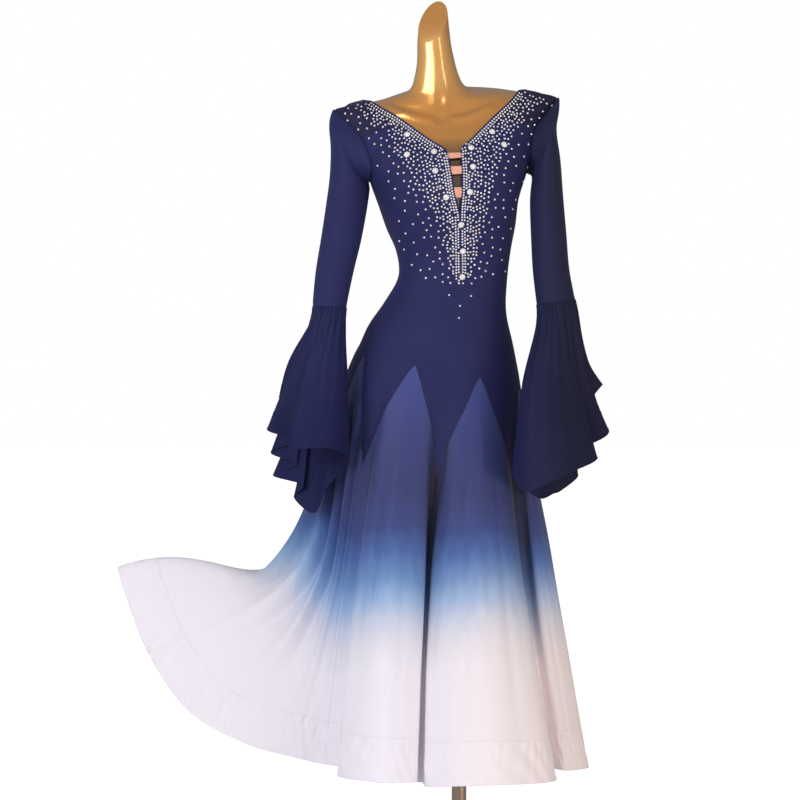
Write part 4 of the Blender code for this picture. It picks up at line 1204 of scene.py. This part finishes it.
def line_point(points, share):
    """A point on a smooth open curve through the points, spaced by their distances."""
    lengths = [0.0]
    for a, b in zip(points, points[1:]):
        lengths.append(lengths[-1] + (b - a).length)
    want = share * lengths[-1]
    k = min(max(bisect_right(lengths, want) - 1, 0), len(points) - 2)
    span = lengths[k + 1] - lengths[k]
    slopes = []
    for i in (k, k + 1):
        a, b = max(i - 1, 0), min(i + 1, len(points) - 1)
        slopes.append((points[b] - points[a]) / (lengths[b] - lengths[a]) * span)
    return hermite(points[k], points[k + 1], *slopes, (want - lengths[k]) / span)


def edge_path(rows, facing, side, first):
    """The bodice's inner edge, from row first to the last: its points and normals."""
    last = len(rows) - 1

    def path(v):
        along = first + (last - first) * v
        k = min(int(along), last - 1)
        low, high = rows[k], rows[k + 1]
        angle = low.centre_angle + (high.centre_angle - low.centre_angle) * (along - k)
        height = low.centre_height + (high.centre_height - low.centre_height) * (along - k)
        normal = body_normal(facing + side * angle, height)
        return panel_point(rows, facing, side, 0.0, along), normal

    return path


BINDING = 0.0012
BINDING_STEPS = 140
ARMHOLE_THREAD = 0.0009
ARMHOLE_STEP = 0.0035
SLEEVE_GRID = (72, 110)
BELL_GRID = (204, 64)
BELL_BAND_GRID = (280, 12)
BELL_STEPS = 360
# Waves round a bell: the gathers at the cuff, the long folds that they end in, and the
# puckers of the band, each with its height.
GATHERS, GATHER = 34, 0.0016
LONG_FOLDS, LONG_FOLD = 17, 0.0022
BELL_PUCKERS, BELL_PUCKER = 70, 0.0004
# The lines sewn round a bell: name, level, radius, and 1 where it is as dark as the cloth.
BELL_LINES = [
    ("seam", BELL_BAND, 0.0007, 0.0),
    ("rolled_edge", 1.0, 0.0009, 1.0),
    ("cuff", 0.0, 0.0009, 1.0),
]


def bell_relief(u, v):
    turn = 2 * math.pi * u
    gather = GATHER * math.cos(GATHERS * turn + 2 * math.sin(5 * turn)) * math.exp(-v * 9)
    fold = LONG_FOLD * math.cos(LONG_FOLDS * turn + 1.3 * math.sin(3 * turn)) * math.exp(-v * 2.6)
    return gather + fold * min(v * 6, 1.0)


def bell_band_relief(u, v):
    return BELL_PUCKER * math.cos(2 * math.pi * BELL_PUCKERS * u) * math.exp(-4 * v)


for arm, side in ARM_SIDE.items():
    hole = armhole_points(side)
    seams = [[p + n * LAP for p, n in hole], [p + n * (LAP + ARMHOLE_STEP) for p, n in hole]]
    columns = {}

    def sleeve_place(u, v, arm=arm, seams=seams, columns=columns):
        key = round(u * 1000)
        if key not in columns:
            line = [loop_point(seam, u % 1.0) for seam in seams]
            line += [sleeve_ring_point(arm, ring, 360.0 * u) for ring in SLEEVE_RINGS[arm]]
            columns[key] = line
        return line_point(columns[key], v)

    outward = side == -1
    bm = laid_grid(*SLEEVE_GRID, sleeve_place, turned=outward)
    sized_map(bm, 0.26, 0.34)
    piece(f"sleeve_cloth_{arm}", bm, navy, [f"sleeve_{arm}"], JERSEY)
    drape = bell_drape(arm)

    def bell_place(u, v, drape=drape):
        return drape.point(drape.angles[0] + 360.0 * u, v * BELL_BAND)

    def bell_band_place(u, v, drape=drape):
        return drape.point(drape.angles[0] + 360.0 * u, BELL_BAND + v * (1 - BELL_BAND))

    bm = laid_grid(*BELL_GRID, bell_place, bell_relief, {"level": lambda u, v: v}, outward)
    sized_map(bm, 0.5, 0.25)
    piece(f"bell_cloth_{arm}", bm, chiffon_navy, [f"bell_{arm}"], CHIFFON)
    plain = {"level": lambda u, v: 1.0}
    bm = laid_grid(*BELL_BAND_GRID, bell_band_place, bell_band_relief, plain, outward)
    sized_map(bm, 0.6, 0.04)
    piece(f"bell_hem_cloth_{arm}", bm, chiffon_navy, [f"bell_hem_{arm}"], CHIFFON)

    def round_bell(level, drape=drape):
        return lambda v: (drape.point(360.0 * v, level), drape.normal(360.0 * v, level))

    for part, level, radius, tone in BELL_LINES:
        values = {"level": lambda u, v, tone=tone: tone}
        bm = sewn_line(BELL_STEPS, radius, round_bell(level), values, closed=True)
        piece(f"bell_{part}_{arm}", bm, chiffon_navy)

    def round_arm(v, hole=hole):
        return loop_pair(hole, v)

    bm = sewn_line(SEAM_STEPS, ARMHOLE_THREAD, round_arm, closed=True)
    piece(f"armhole_seam_{arm}", bm, navy)

EDGES = [("front", FRONT_ROWS, 0.0, SLIT_FOOT_ROW), ("back", BACK_ROWS, 180.0, BACK_NECK_ROW)]
for name, side in (("right", -1), ("left", 1)):
    for part, rows, facing, first in EDGES:
        bm = sewn_line(BINDING_STEPS, BINDING, edge_path(rows, facing, side, first))
        piece(f"{part}_binding_{name}", bm, navy)


def slit_half_angle(height):
    """Half of the slit's opening at a ring height, between the rows of the front."""
    for low, high in zip(FRONT_ROWS[SLIT_FOOT_ROW:], FRONT_ROWS[SLIT_FOOT_ROW + 1:]):
        if low.centre_height <= height <= high.centre_height:
            s = (height - low.centre_height) / (high.centre_height - low.centre_height)
            return low.centre_angle + (high.centre_angle - low.centre_angle) * s
    return 0.0


def strap_relief(u, v):
    """The gathers of a strap, drawn flat half way across."""
    pinch = 1 - 0.5 * math.sin(math.pi * u)
    gather = math.cos(2 * math.pi * 4 * v + 0.6 * math.sin(6 * u))
    return 0.0010 * gather * pinch + 0.0006 * math.sin(math.pi * v)


for number, (low, high) in enumerate(STRAPS, start=1):

    def strap_place(u, v, low=low, high=high):
        height = low + (high - low) * v
        angle = (2 * u - 1) * slit_half_angle(height)
        return body_point(angle, height)

    bm = laid_grid(20, 32, strap_place, strap_relief)
    sized_map(bm, 0.02, high - low)
    nodes = [f"slit_strap_{number}"]
    piece(f"strap_cloth_{number}", bm, satin.material, nodes, JERSEY)

# The form and its stand

# The notch between the collarbones, and how the bones rise from it to the shoulders.
NOTCH = (-0.036, 1.372)
BONE_REACH = 0.085
BONE_RISE = 0.022
BONE_HEIGHT = 0.0042
BONE_WIDTH = 0.0080
# Smooth bumps by the notch: how far across and up from it, half widths, and height.
BUMPS = [
    (0.000, 0.006, 0.008, 0.010, -0.0030),
    (0.012, 0.034, 0.006, 0.030, 0.0022),
    (0.009, -0.004, 0.005, 0.007, 0.0030),
]


def collarbones(point):
    """Relief of the collarbones, the hollows over them and the notch between them."""
    across = abs(point.x - NOTCH[0])
    up = point.z - NOTCH[1]
    share = min(across / BONE_REACH, 1.4)
    off = (up - 0.004 - BONE_RISE * share * share) / BONE_WIDTH
    fade = math.sin(math.pi * rise(across, 0.006, BONE_REACH * 1.15)) ** 0.6
    hollow = 0.6 * BONE_HEIGHT * math.exp(-((off - 1.8) ** 2))
    relief = (BONE_HEIGHT * math.exp(-off * off) - hollow) * fade
    for bump_x, bump_z, width, length, height in BUMPS:
        near = ((across - bump_x) / width) ** 2 + ((up - bump_z) / length) ** 2
        relief += height * math.exp(-near)
    return relief


def form_point(angle, height):
    """The form's skin: back from the cloth, and a little narrower at the shoulders."""
    ring = ring_at(height)
    point = body_point(angle, height)
    normal = body_normal(angle, height)
    if normal.dot(point - Vector((ring.x, ring.y, height))) < 0:
        normal = -normal
    low, high = SHOULDER_HEIGHTS
    taper = SHOULDER_TAPER * rise(height, low, high - low)
    point -= normal * FORM_CLEARANCE
    point.x -= (point.x - ring.x) * taper
    point.y -= (point.y - ring.y) * taper
    if point.y < ring.y:
        point += normal * collarbones(point)
    return point


# Painted shade makes the gold dark inside the slit and painted light makes it lighter on the neck:
# heights where each starts and where it is full.
SLIT_PAINTED_SHADE = (1.345, 1.30)
NECK_PAINTED_LIGHT = (1.41, 1.46)
NECK_PAINTED_LIGHT_END = (1.57, 1.53)
FORM_COLUMNS = 144
CHEST_FOOT = 1.3
CHEST_STEPS = 24
LOWER_STEPS = 8

gold = Finish(
    "gold_skin", Roughness=0.24, Metallic=0.72, Coat_Weight=0.9, Coat_Roughness=0.05, Coat_IOR=1.8,
)
tone = gold.mixed(gold.noise(gold.place(), 6.0), linear(244, 168, 72), linear(235, 157, 64))
height = gold.part_of(gold.place(), "Z")
# Painted light on the neck and painted shade inside the slit, by height.
painted_neck_light = gold.between(height, *NECK_PAINTED_LIGHT) * gold.between(height, *NECK_PAINTED_LIGHT_END)
neck_lit = gold.mixed(painted_neck_light, tone, linear(255, 190, 104))
gold.feed(Base_Color=gold.mixed(gold.between(height, *SLIT_PAINTED_SHADE), neck_lit, linear(96, 66, 44)))
gold.bump(gold.noise(gold.place(), 10.0, 0.0), 0.02, 0.002)

heights = [FORM_BOTTOM]
for low, high in zip(HEIGHTS[1:], HEIGHTS[2:]):
    count = CHEST_STEPS if low > CHEST_FOOT else LOWER_STEPS
    heights += [low + (high - low) * i / count for i in range(count)]
heights.append(NECK_TOP)


def form_place(u, v):
    return form_point(360.0 * (u % 1.0), heights[round(v * (len(heights) - 1))])


bm = laid_grid(FORM_COLUMNS, len(heights) - 1, form_place)
bmesh.ops.bisect_plane(
    bm, geom=list(bm.verts) + list(bm.edges) + list(bm.faces),
    plane_co=NECK_CUT_POINT, plane_no=NECK_CUT_NORMAL, clear_outer=True,
)
bmesh.ops.holes_fill(bm, edges=[edge for edge in bm.edges if edge.is_boundary])
form = piece("form_skin", bm, gold.material, ["dress_form"])
form.data.set_sharp_from_angle(angle=math.radians(50))

steel = Finish("steel", Roughness=0.32, Metallic=1.0)
brushed = steel.noise(steel.place(), 40.0)
steel.feed(Base_Color=steel.mixed(brushed, linear(148, 126, 110), linear(168, 146, 130)))
TURNED_STEPS = 96


def turned_piece(name, profile, nodes):
    """A steel piece turned round the pole's axis from a profile of radii and heights."""
    bm = bmesh.new()
    verts = [bm.verts.new((radius, 0.0, height)) for radius, height in profile]
    for a, b in zip(verts, verts[1:]):
        bm.edges.new((a, b))
    bmesh.ops.spin(
        bm, geom=list(bm.verts) + list(bm.edges), cent=(0, 0, 0), axis=(0, 0, 1),
        angle=2 * math.pi, steps=TURNED_STEPS, use_merge=True,
    )
    bmesh.ops.remove_doubles(bm, verts=bm.verts, dist=MERGE)
    bmesh.ops.recalc_face_normals(bm, faces=bm.faces)
    made = piece(name, bm, steel.material, nodes)
    made.data.set_sharp_from_angle(angle=math.radians(35))


pole_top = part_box("stand_pole")[1].z
POLE_PROFILE = [
    (0, BASE_HEIGHT), (POLE_RADIUS, BASE_HEIGHT), (POLE_RADIUS, pole_top), (0, pole_top),
]
BASE_PROFILE = [
    (0, 0), (BASE_RADIUS - 0.001, 0), (BASE_RADIUS, 0.001), (BASE_RADIUS, 0.008),
    (BASE_RADIUS - 0.0015, 0.0107), (BASE_RADIUS - 0.005, BASE_HEIGHT), (0, BASE_HEIGHT),
]
turned_piece("pole", POLE_PROFILE, ["stand_pole"])
turned_piece("base_plate", BASE_PROFILE, ["stand_base"])

# Stones

stone = Finish(
    "stone", Roughness=0.1, Specular_IOR_Level=0.9, Coat_Weight=1.0, Coat_Roughness=0.03,
)
GLINTS = [
    (0.30, linear(255, 214, 188)),
    (0.42, linear(255, 250, 244)),
    (0.60, linear(244, 248, 255)),
    (0.72, linear(190, 206, 240)),
]
stone.feed(Base_Color=stone.ramp(stone.noise(stone.place(), 210.0), GLINTS))

FRAME = 800
SENSOR = 36.0
LENS = 106.58
EYE = Vector((-0.1121, -4.5, 0.8515))
VIEW = FRAME * LENS / SENSOR

cloth_front = [bpy.data.objects[n] for n in ("bodice_front_cloth", "yoke_right_cloth", "yoke_left_cloth")]
corners, faces = [], []
for item in cloth_front:
    base = len(corners)
    corners += [vert.co.copy() for vert in item.data.vertices]
    faces += [[base + i for i in polygon.vertices] for polygon in item.data.polygons]
CHEST = BVHTree.FromPolygons(corners, faces)


def pixel_of(point):
    """Where a point is seen in the photograph, in its pixels."""
    away = point.y - EYE.y
    across = (point.x - EYE.x) / away * VIEW
    up = (point.z - EYE.z) / away * VIEW
    return FRAME / 2 + across, FRAME / 2 - up


def on_chest(start, direction):
    hit, normal, _, _ = CHEST.ray_cast(start, direction)
    if not hit:
        return None
    return (hit, normal if normal.dot(direction) < 0 else -normal)


def seen(px, py):
    """The point of the chest behind a pixel of the photograph, and its normal."""
    direction = Vector(((px - FRAME / 2) / VIEW, 1.0, (FRAME / 2 - py) / VIEW)).normalized()
    return on_chest(EYE, direction)


def straight_on(x, z):
    """The point of the chest behind a place seen from straight ahead, and its normal."""
    return on_chest(Vector((x, -1.0, z)), Vector((0.0, 1.0, 0.0)))


def seat(hit, normal, lift):
    """The matrix that stands a stone on the cloth."""
    turn = normal.to_track_quat("Z", "Y").to_matrix().to_4x4()
    return Matrix.Translation(hit + normal * lift) @ turn


def dome(bm, matrix, radius, height, sides):
    """A cut stone: a cone with a flat table."""
    bmesh.ops.create_cone(
        bm, cap_ends=True, segments=sides, radius1=radius, radius2=radius * TABLE,
        depth=height, matrix=matrix,
    )


# A large stone: a middle one and petals round it, each with its radius as a share of the
# whole, its height and its sides; the petals' distance out, lift and lean as well.
TABLE = 0.52
MIDDLE = (STONE_RADIUS * 0.55, 0.0040, 10)
PETAL = (STONE_RADIUS * 0.30, 0.0024, 6)
PETALS = 8
PETAL_PLACE = (STONE_RADIUS * 0.70, 0, 0.0012)
PETAL_LEAN = 0.35

bm = bmesh.new()
for x, z in STONES:
    centre = seat(*straight_on(x, z), JERSEY / 2)
    dome(bm, centre @ Matrix.Translation((0, 0, MIDDLE[1] / 2)), *MIDDLE)
    for k in range(PETALS):
        turn = Matrix.Rotation(math.radians(360 * k / PETALS), 4, "Z")
        lean = Matrix.Rotation(PETAL_LEAN, 4, "Y")
        dome(bm, centre @ (turn @ Matrix.Translation(PETAL_PLACE) @ lean), *PETAL)
nodes = [f"stone_{k}" for k in range(1, len(STONES) + 1)]
piece("large_stones", bm, stone.material, nodes, smooth=False)

# Outer edges of the crusted stones and of the scattered ones, each side from the shoulder
# down to the point below the slit, in pixels of the photograph.
CRUST = {
    -1: [
        (352, 107), (360, 112), (368, 123), (388, 132), (392, 142), (392, 151), (405, 165),
        (410, 172), (417, 187), (429, 204), (436, 220), (443, 234), (442, 243), (448, 256),
        (449, 270), (461, 286),
    ],
    1: [
        (545, 100), (536, 108), (530, 114), (518, 128), (512, 136), (507, 149), (500, 161),
        (495, 183), (490, 195), (488, 206), (486, 219), (481, 235), (480, 243), (477, 253),
        (475, 264), (473, 271), (468, 278), (462, 286),
    ],
}
SCATTER = {
    -1: [
        (338, 108), (345, 118), (358, 134), (372, 150), (378, 168), (388, 190), (396, 205),
        (400, 245), (414, 276), (440, 286),
    ],
    1: [
        (558, 104), (556, 118), (546, 140), (535, 160), (527, 178), (518, 200), (513, 222),
        (508, 250), (505, 274), (482, 284),
    ],
}
SINGLES = [(449, 295), (471, 296), (460, 306), (459, 318)]
FOOT_OF_STONES = (461.0, 286.0)
# Rows of stones along the edge, in pixels: the first one's distance from it, the step
# between stones and how it grows from row to row; then the shares of the step that lie
# between two rows, that a loose stone strays, and that has to stay free round a stone.
FIRST_ROW = 2.0
ROW_STEP = 2.75
ROW_GROWTH = 0.17
ROWS_OF_STONES = 11
REGULAR_ROWS = 2
ROW_APART = 0.92
STRAY = 0.2
STONE_APART = 0.78
EDGE_STEPS = 24
# Gaps between the stones that are thrown in, at the near side and at the far side.
CRUST_GAPS = (2.6, 3.7)
SCATTER_GAPS = (4.6, 9.5)
SCATTER_REACH = 26.0
LARGE_GAP = 4.4
TRIES = 16000
SEED = 7
BED = 12
SMALL_SIDES = 6
SMALL_HEIGHT = 0.0016
SMALL_LIFT = 0.0007


def inside(outline, x, y):
    """Whether a pixel lies within a closed outline."""
    found = False
    for (x0, y0), (x1, y1) in zip(outline, outline[1:] + outline[:1]):
        if (y0 > y) != (y1 > y) and x < x0 + (x1 - x0) * (y - y0) / (y1 - y0):
            found = not found
    return found


def stepped(line, step, start):
    """Points at even steps along a line of pixels, each with the line's direction."""
    left = start
    for (x0, y0), (x1, y1) in zip(line, line[1:]):
        length = math.hypot(x1 - x0, y1 - y0)
        dx, dy = x1 - x0, y1 - y0
        while left <= length:
            yield x0 + dx * left / length, y0 + dy * left / length, dx / length, dy / length
            left += step
        left -= length


def distance_to(line, x, y):
    """How far a pixel is from a line of pixels."""
    nearest = 1e9
    for (x0, y0), (x1, y1) in zip(line, line[1:]):
        dx, dy = x1 - x0, y1 - y0
        share = min(max(((x - x0) * dx + (y - y0) * dy) / (dx * dx + dy * dy), 0.0), 1.0)
        nearest = min(nearest, math.hypot(x - x0 - dx * share, y - y0 - dy * share))
    return nearest


chance = random.Random(SEED)
spots = []
beds = {}
large = [pixel_of(straight_on(x, z)[0]) for x, z in STONES]


def keep(x, y):
    """Adds a stone at a pixel, listed by the bed of the picture that it lies in."""
    spots.append((x, y))
    beds.setdefault((int(x // BED), int(y // BED)), []).append((x, y))


def free(x, y, gap):
    """Whether a stone fits at a pixel, gap away from the small ones."""
    column, row = int(x // BED), int(y // BED)
    for near in [(column + i, row + j) for i in (-1, 0, 1) for j in (-1, 0, 1)]:
        if any(math.hypot(x - a, y - b) < gap for a, b in beds.get(near, ())):
            return False
    return all(math.hypot(x - a, y - b) > LARGE_GAP for a, b in large)


for x, y in SINGLES:
    keep(x, y)


def scattered(outline, gap_at, tries):
    """Stones thrown into an outline, each kept where it is gap_at away from the others."""
    low_x, high_x = min(x for x, _ in outline), max(x for x, _ in outline)
    low_y, high_y = min(y for _, y in outline), max(y for _, y in outline)
    for _ in range(tries):
        x, y = chance.uniform(low_x, high_x), chance.uniform(low_y, high_y)
        if inside(outline, x, y) and free(x, y, gap_at(x, y)):
            keep(x, y)


for side in (-1, 1):
    path = edge_path(FRONT_ROWS, 0.0, side, SLIT_FOOT_ROW)
    edge = [FOOT_OF_STONES]
    edge += [pixel_of(path(k / EDGE_STEPS)[0]) for k in range(EDGE_STEPS + 1)]
    outline = CRUST[side] + edge
    away, step = FIRST_ROW, ROW_STEP
    for row in range(ROWS_OF_STONES):
        loose = 0.0 if row < REGULAR_ROWS else STRAY * step
        for x, y, dx, dy in stepped(edge, step, 0.5 * step * (row % 2)):
            x += -side * dy * away + chance.uniform(-loose, loose)
            y += side * dx * away + chance.uniform(-loose, loose)
            if inside(outline, x, y) and free(x, y, step * STONE_APART):
                keep(x, y)
        away += step * ROW_APART
        step += ROW_GROWTH

    def crust_gap(x, y, edge=edge, border=CRUST[side]):
        inner = distance_to(edge, x, y)
        share = inner / (inner + distance_to(border, x, y))
        return CRUST_GAPS[0] + (CRUST_GAPS[1] - CRUST_GAPS[0]) * share

    def scatter_gap(x, y, border=CRUST[side]):
        share = min(distance_to(border, x, y) / SCATTER_REACH, 1.0)
        return SCATTER_GAPS[0] + (SCATTER_GAPS[1] - SCATTER_GAPS[0]) * share

    scattered(outline, crust_gap, TRIES)
    scattered(SCATTER[side] + CRUST[side][::-1], scatter_gap, TRIES // 4)

bm = bmesh.new()
for x, y in spots:
    found = seen(x, y)
    if found:
        dome(bm, seat(*found, JERSEY / 2 + SMALL_LIFT), SMALL_STONE, SMALL_HEIGHT, SMALL_SIDES)
piece("small_stones", bm, stone.material, smooth=False)

# Stage, camera and light

floor_mesh = bmesh.new()
bmesh.ops.create_grid(floor_mesh, x_segments=1, y_segments=1, size=40.0)
mesh = bpy.data.meshes.new("floor")
floor_mesh.to_mesh(mesh)
floor_mesh.free()
ground = bpy.data.objects.new("floor", mesh)
bpy.context.scene.collection.objects.link(ground)
WHITE = (1.0, 1.0, 1.0, 1.0)
pale = Finish(
    "pale_floor", Roughness=0.9, Base_Color=(0.88, 0.88, 0.88, 1.0), Emission_Color=WHITE,
)
seen_directly = pale.node("ShaderNodeLightPath")
pale.feed(Emission_Strength=seen_directly * 0.72 + 0.06)
mesh.materials.append(pale.material)
ground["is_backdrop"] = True

scene = bpy.context.scene
scene.view_settings.view_transform = "Standard"
world = bpy.data.worlds.new("studio")
scene.world = world
world.use_nodes = True
sky = world.node_tree.nodes["Background"]
sky.inputs["Color"].default_value = WHITE
# The room is bright in front of the dress and to its left, and dim behind it; the camera
# itself sees plain white.
room = world.node_tree.nodes
links = world.node_tree.links
paths = room.new("ShaderNodeLightPath")
direction = room.new("ShaderNodeTexCoord")
facing = room.new("ShaderNodeVectorMath")
facing.operation = "DOT_PRODUCT"
facing.inputs[1].default_value = (-0.45, -0.87, 0.20)
front = room.new("ShaderNodeMapRange")
front.inputs["From Min"].default_value = -1.0
front.inputs["From Max"].default_value = 1.0
front.inputs["To Min"].default_value = 0.16
front.inputs["To Max"].default_value = 0.50
strength = room.new("ShaderNodeMix")
strength.inputs[3].default_value = 1.0
links.new(direction.outputs["Generated"], facing.inputs[0])
links.new(facing.outputs["Value"], front.inputs["Value"])
links.new(paths.outputs["Is Camera Ray"], strength.inputs[0])
links.new(front.outputs["Result"], strength.inputs[2])
links.new(strength.outputs[0], sky.inputs["Strength"])


def area_light(name, place, target, size, power, colour, mirrored=True):
    """A rectangle of light at a place, turned to its target."""
    light = bpy.data.lights.new(name, "AREA")
    light.shape = "RECTANGLE"
    light.size, light.size_y = size
    light.energy = power
    light.color = colour
    made = bpy.data.objects.new(name, light)
    made.location = place
    made.rotation_euler = (Vector(target) - Vector(place)).to_track_quat("-Z", "Y").to_euler()
    made.visible_glossy = mirrored
    scene.collection.objects.link(made)


middle = (-0.1, 0.0, 0.9)
neck = (-0.05, 0.0, 1.4)
area_light("key", (-2.2, -3.2, 2.4), middle, (3.0, 2.4), 62.0, (0.96, 0.97, 1.0))
area_light("fill", (2.5, -2.4, 0.5), (0.1, 0.0, 0.4), (1.2, 0.8), 32.0, (1.0, 0.88, 0.80))
area_light("back", (0.0, 3.0, 3.2), middle, (2.5, 1.5), 12.0, WHITE[:3], mirrored=False)
area_light("left_strip", (-1.9, -2.1, 1.5), neck, (0.24, 2.0), 11.0, (1.0, 0.97, 0.93))
area_light("right_strip", (1.5, -2.3, 1.6), neck, (0.10, 2.0), 4.0, (1.0, 0.96, 0.9))

camera = bpy.data.cameras.new("camera")
camera.sensor_width = SENSOR
camera.lens = LENS
eye = bpy.data.objects.new("camera", camera)
eye.location = EYE
eye.rotation_euler = (math.pi / 2, 0.0, 0.0)
scene.collection.objects.link(eye)
scene.camera = eye

# What each sheet was cut to, in metres: its name, flat width and length, flat area, how
# it is held, what it rests on, and the pieces that go with it.
BODICE = ["bodice_front_cloth", "bodice_back_cloth"]
BACK_BINDINGS = ["back_binding_right", "back_binding_left"]
SHEETS = [
    ("bodice_front_cloth", 0.46, 0.74, 0.2064, "stretched", ["dress_form"],
     ["front_binding_right", "front_binding_left", "zigzag_seam", "large_stones", "small_stones"]),
    ("bodice_back_cloth", 0.47, 0.86, 0.2340, "stretched", ["dress_form"], BACK_BINDINGS),
    ("yoke_right_cloth", 0.094, 0.115, 0.0076, "stretched", ["dress_form"], []),
    ("yoke_left_cloth", 0.094, 0.118, 0.0078, "stretched", ["dress_form"], []),
    ("sleeve_cloth_right_arm", 0.410, 0.398, 0.0873, "hung", BODICE, ["armhole_seam_right_arm"]),
    ("sleeve_cloth_left_arm", 0.412, 0.422, 0.0870, "hung", BODICE, ["armhole_seam_left_arm"]),
    ("bell_cloth_right_arm", 0.878, 0.337, 0.0975, "gathered", ["sleeve_cloth_right_arm"],
     ["bell_cuff_right_arm"]),
    ("bell_cloth_left_arm", 0.848, 0.319, 0.1098, "gathered", ["sleeve_cloth_left_arm"],
     ["bell_cuff_left_arm"]),
    ("bell_hem_cloth_right_arm", 1.054, 0.050, 0.0304, "hung", ["bell_cloth_right_arm"],
     ["bell_seam_right_arm", "bell_rolled_edge_right_arm"]),
    ("bell_hem_cloth_left_arm", 0.997, 0.048, 0.0299, "hung", ["bell_cloth_left_arm"],
     ["bell_seam_left_arm", "bell_rolled_edge_left_arm"]),
    ("strap_cloth_1", 0.0154, 0.0250, 0.00029, "stretched", ["bodice_front_cloth"], []),
    ("strap_cloth_2", 0.0220, 0.0228, 0.00039, "stretched", ["bodice_front_cloth"], []),
    ("strap_cloth_3", 0.0279, 0.0200, 0.00042, "stretched", ["bodice_front_cloth"], []),
]
# The godets and the bands sewn to them: width along the lower edge, length and area.
GODET_CUTS = [
    (0.399, 0.678, 0.1608), (0.243, 0.657, 0.1003), (0.203, 0.673, 0.0826), (0.219, 0.680, 0.0952),
    (0.234, 0.697, 0.1028), (0.707, 0.676, 0.1842), (0.335, 0.690, 0.1050), (0.330, 0.690, 0.1425),
]
BAND_CUTS = [
    (0.429, 0.079, 0.0320), (0.261, 0.077, 0.0190), (0.229, 0.078, 0.0163), (0.241, 0.079, 0.0175),
    (0.257, 0.081, 0.0194), (0.812, 0.080, 0.0584), (0.418, 0.080, 0.0292), (0.355, 0.080, 0.0270),
]
for number, (godet_cut, band_cut) in enumerate(zip(GODET_CUTS, BAND_CUTS), start=1):
    side = "back" if 3 <= number <= 6 else "front"
    above = [f"bodice_{side}_cloth"]
    SHEETS.append((f"godet_cloth_{number}", *godet_cut, "hung", above, [f"godet_seam_{number}"]))
    sewn = ["band_seam", "rolled_hem"] if number == 1 else []
    SHEETS.append((f"hem_cloth_{number}", *band_cut, "hung", [f"godet_cloth_{number}"], sewn))
for name, width, length, area, held, rests_on, with_names in SHEETS:
    sewn = [bpy.data.objects[other] for other in with_names]
    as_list(rests_on)

[[list(corner) for corner in box] for box in (cad_box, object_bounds())]
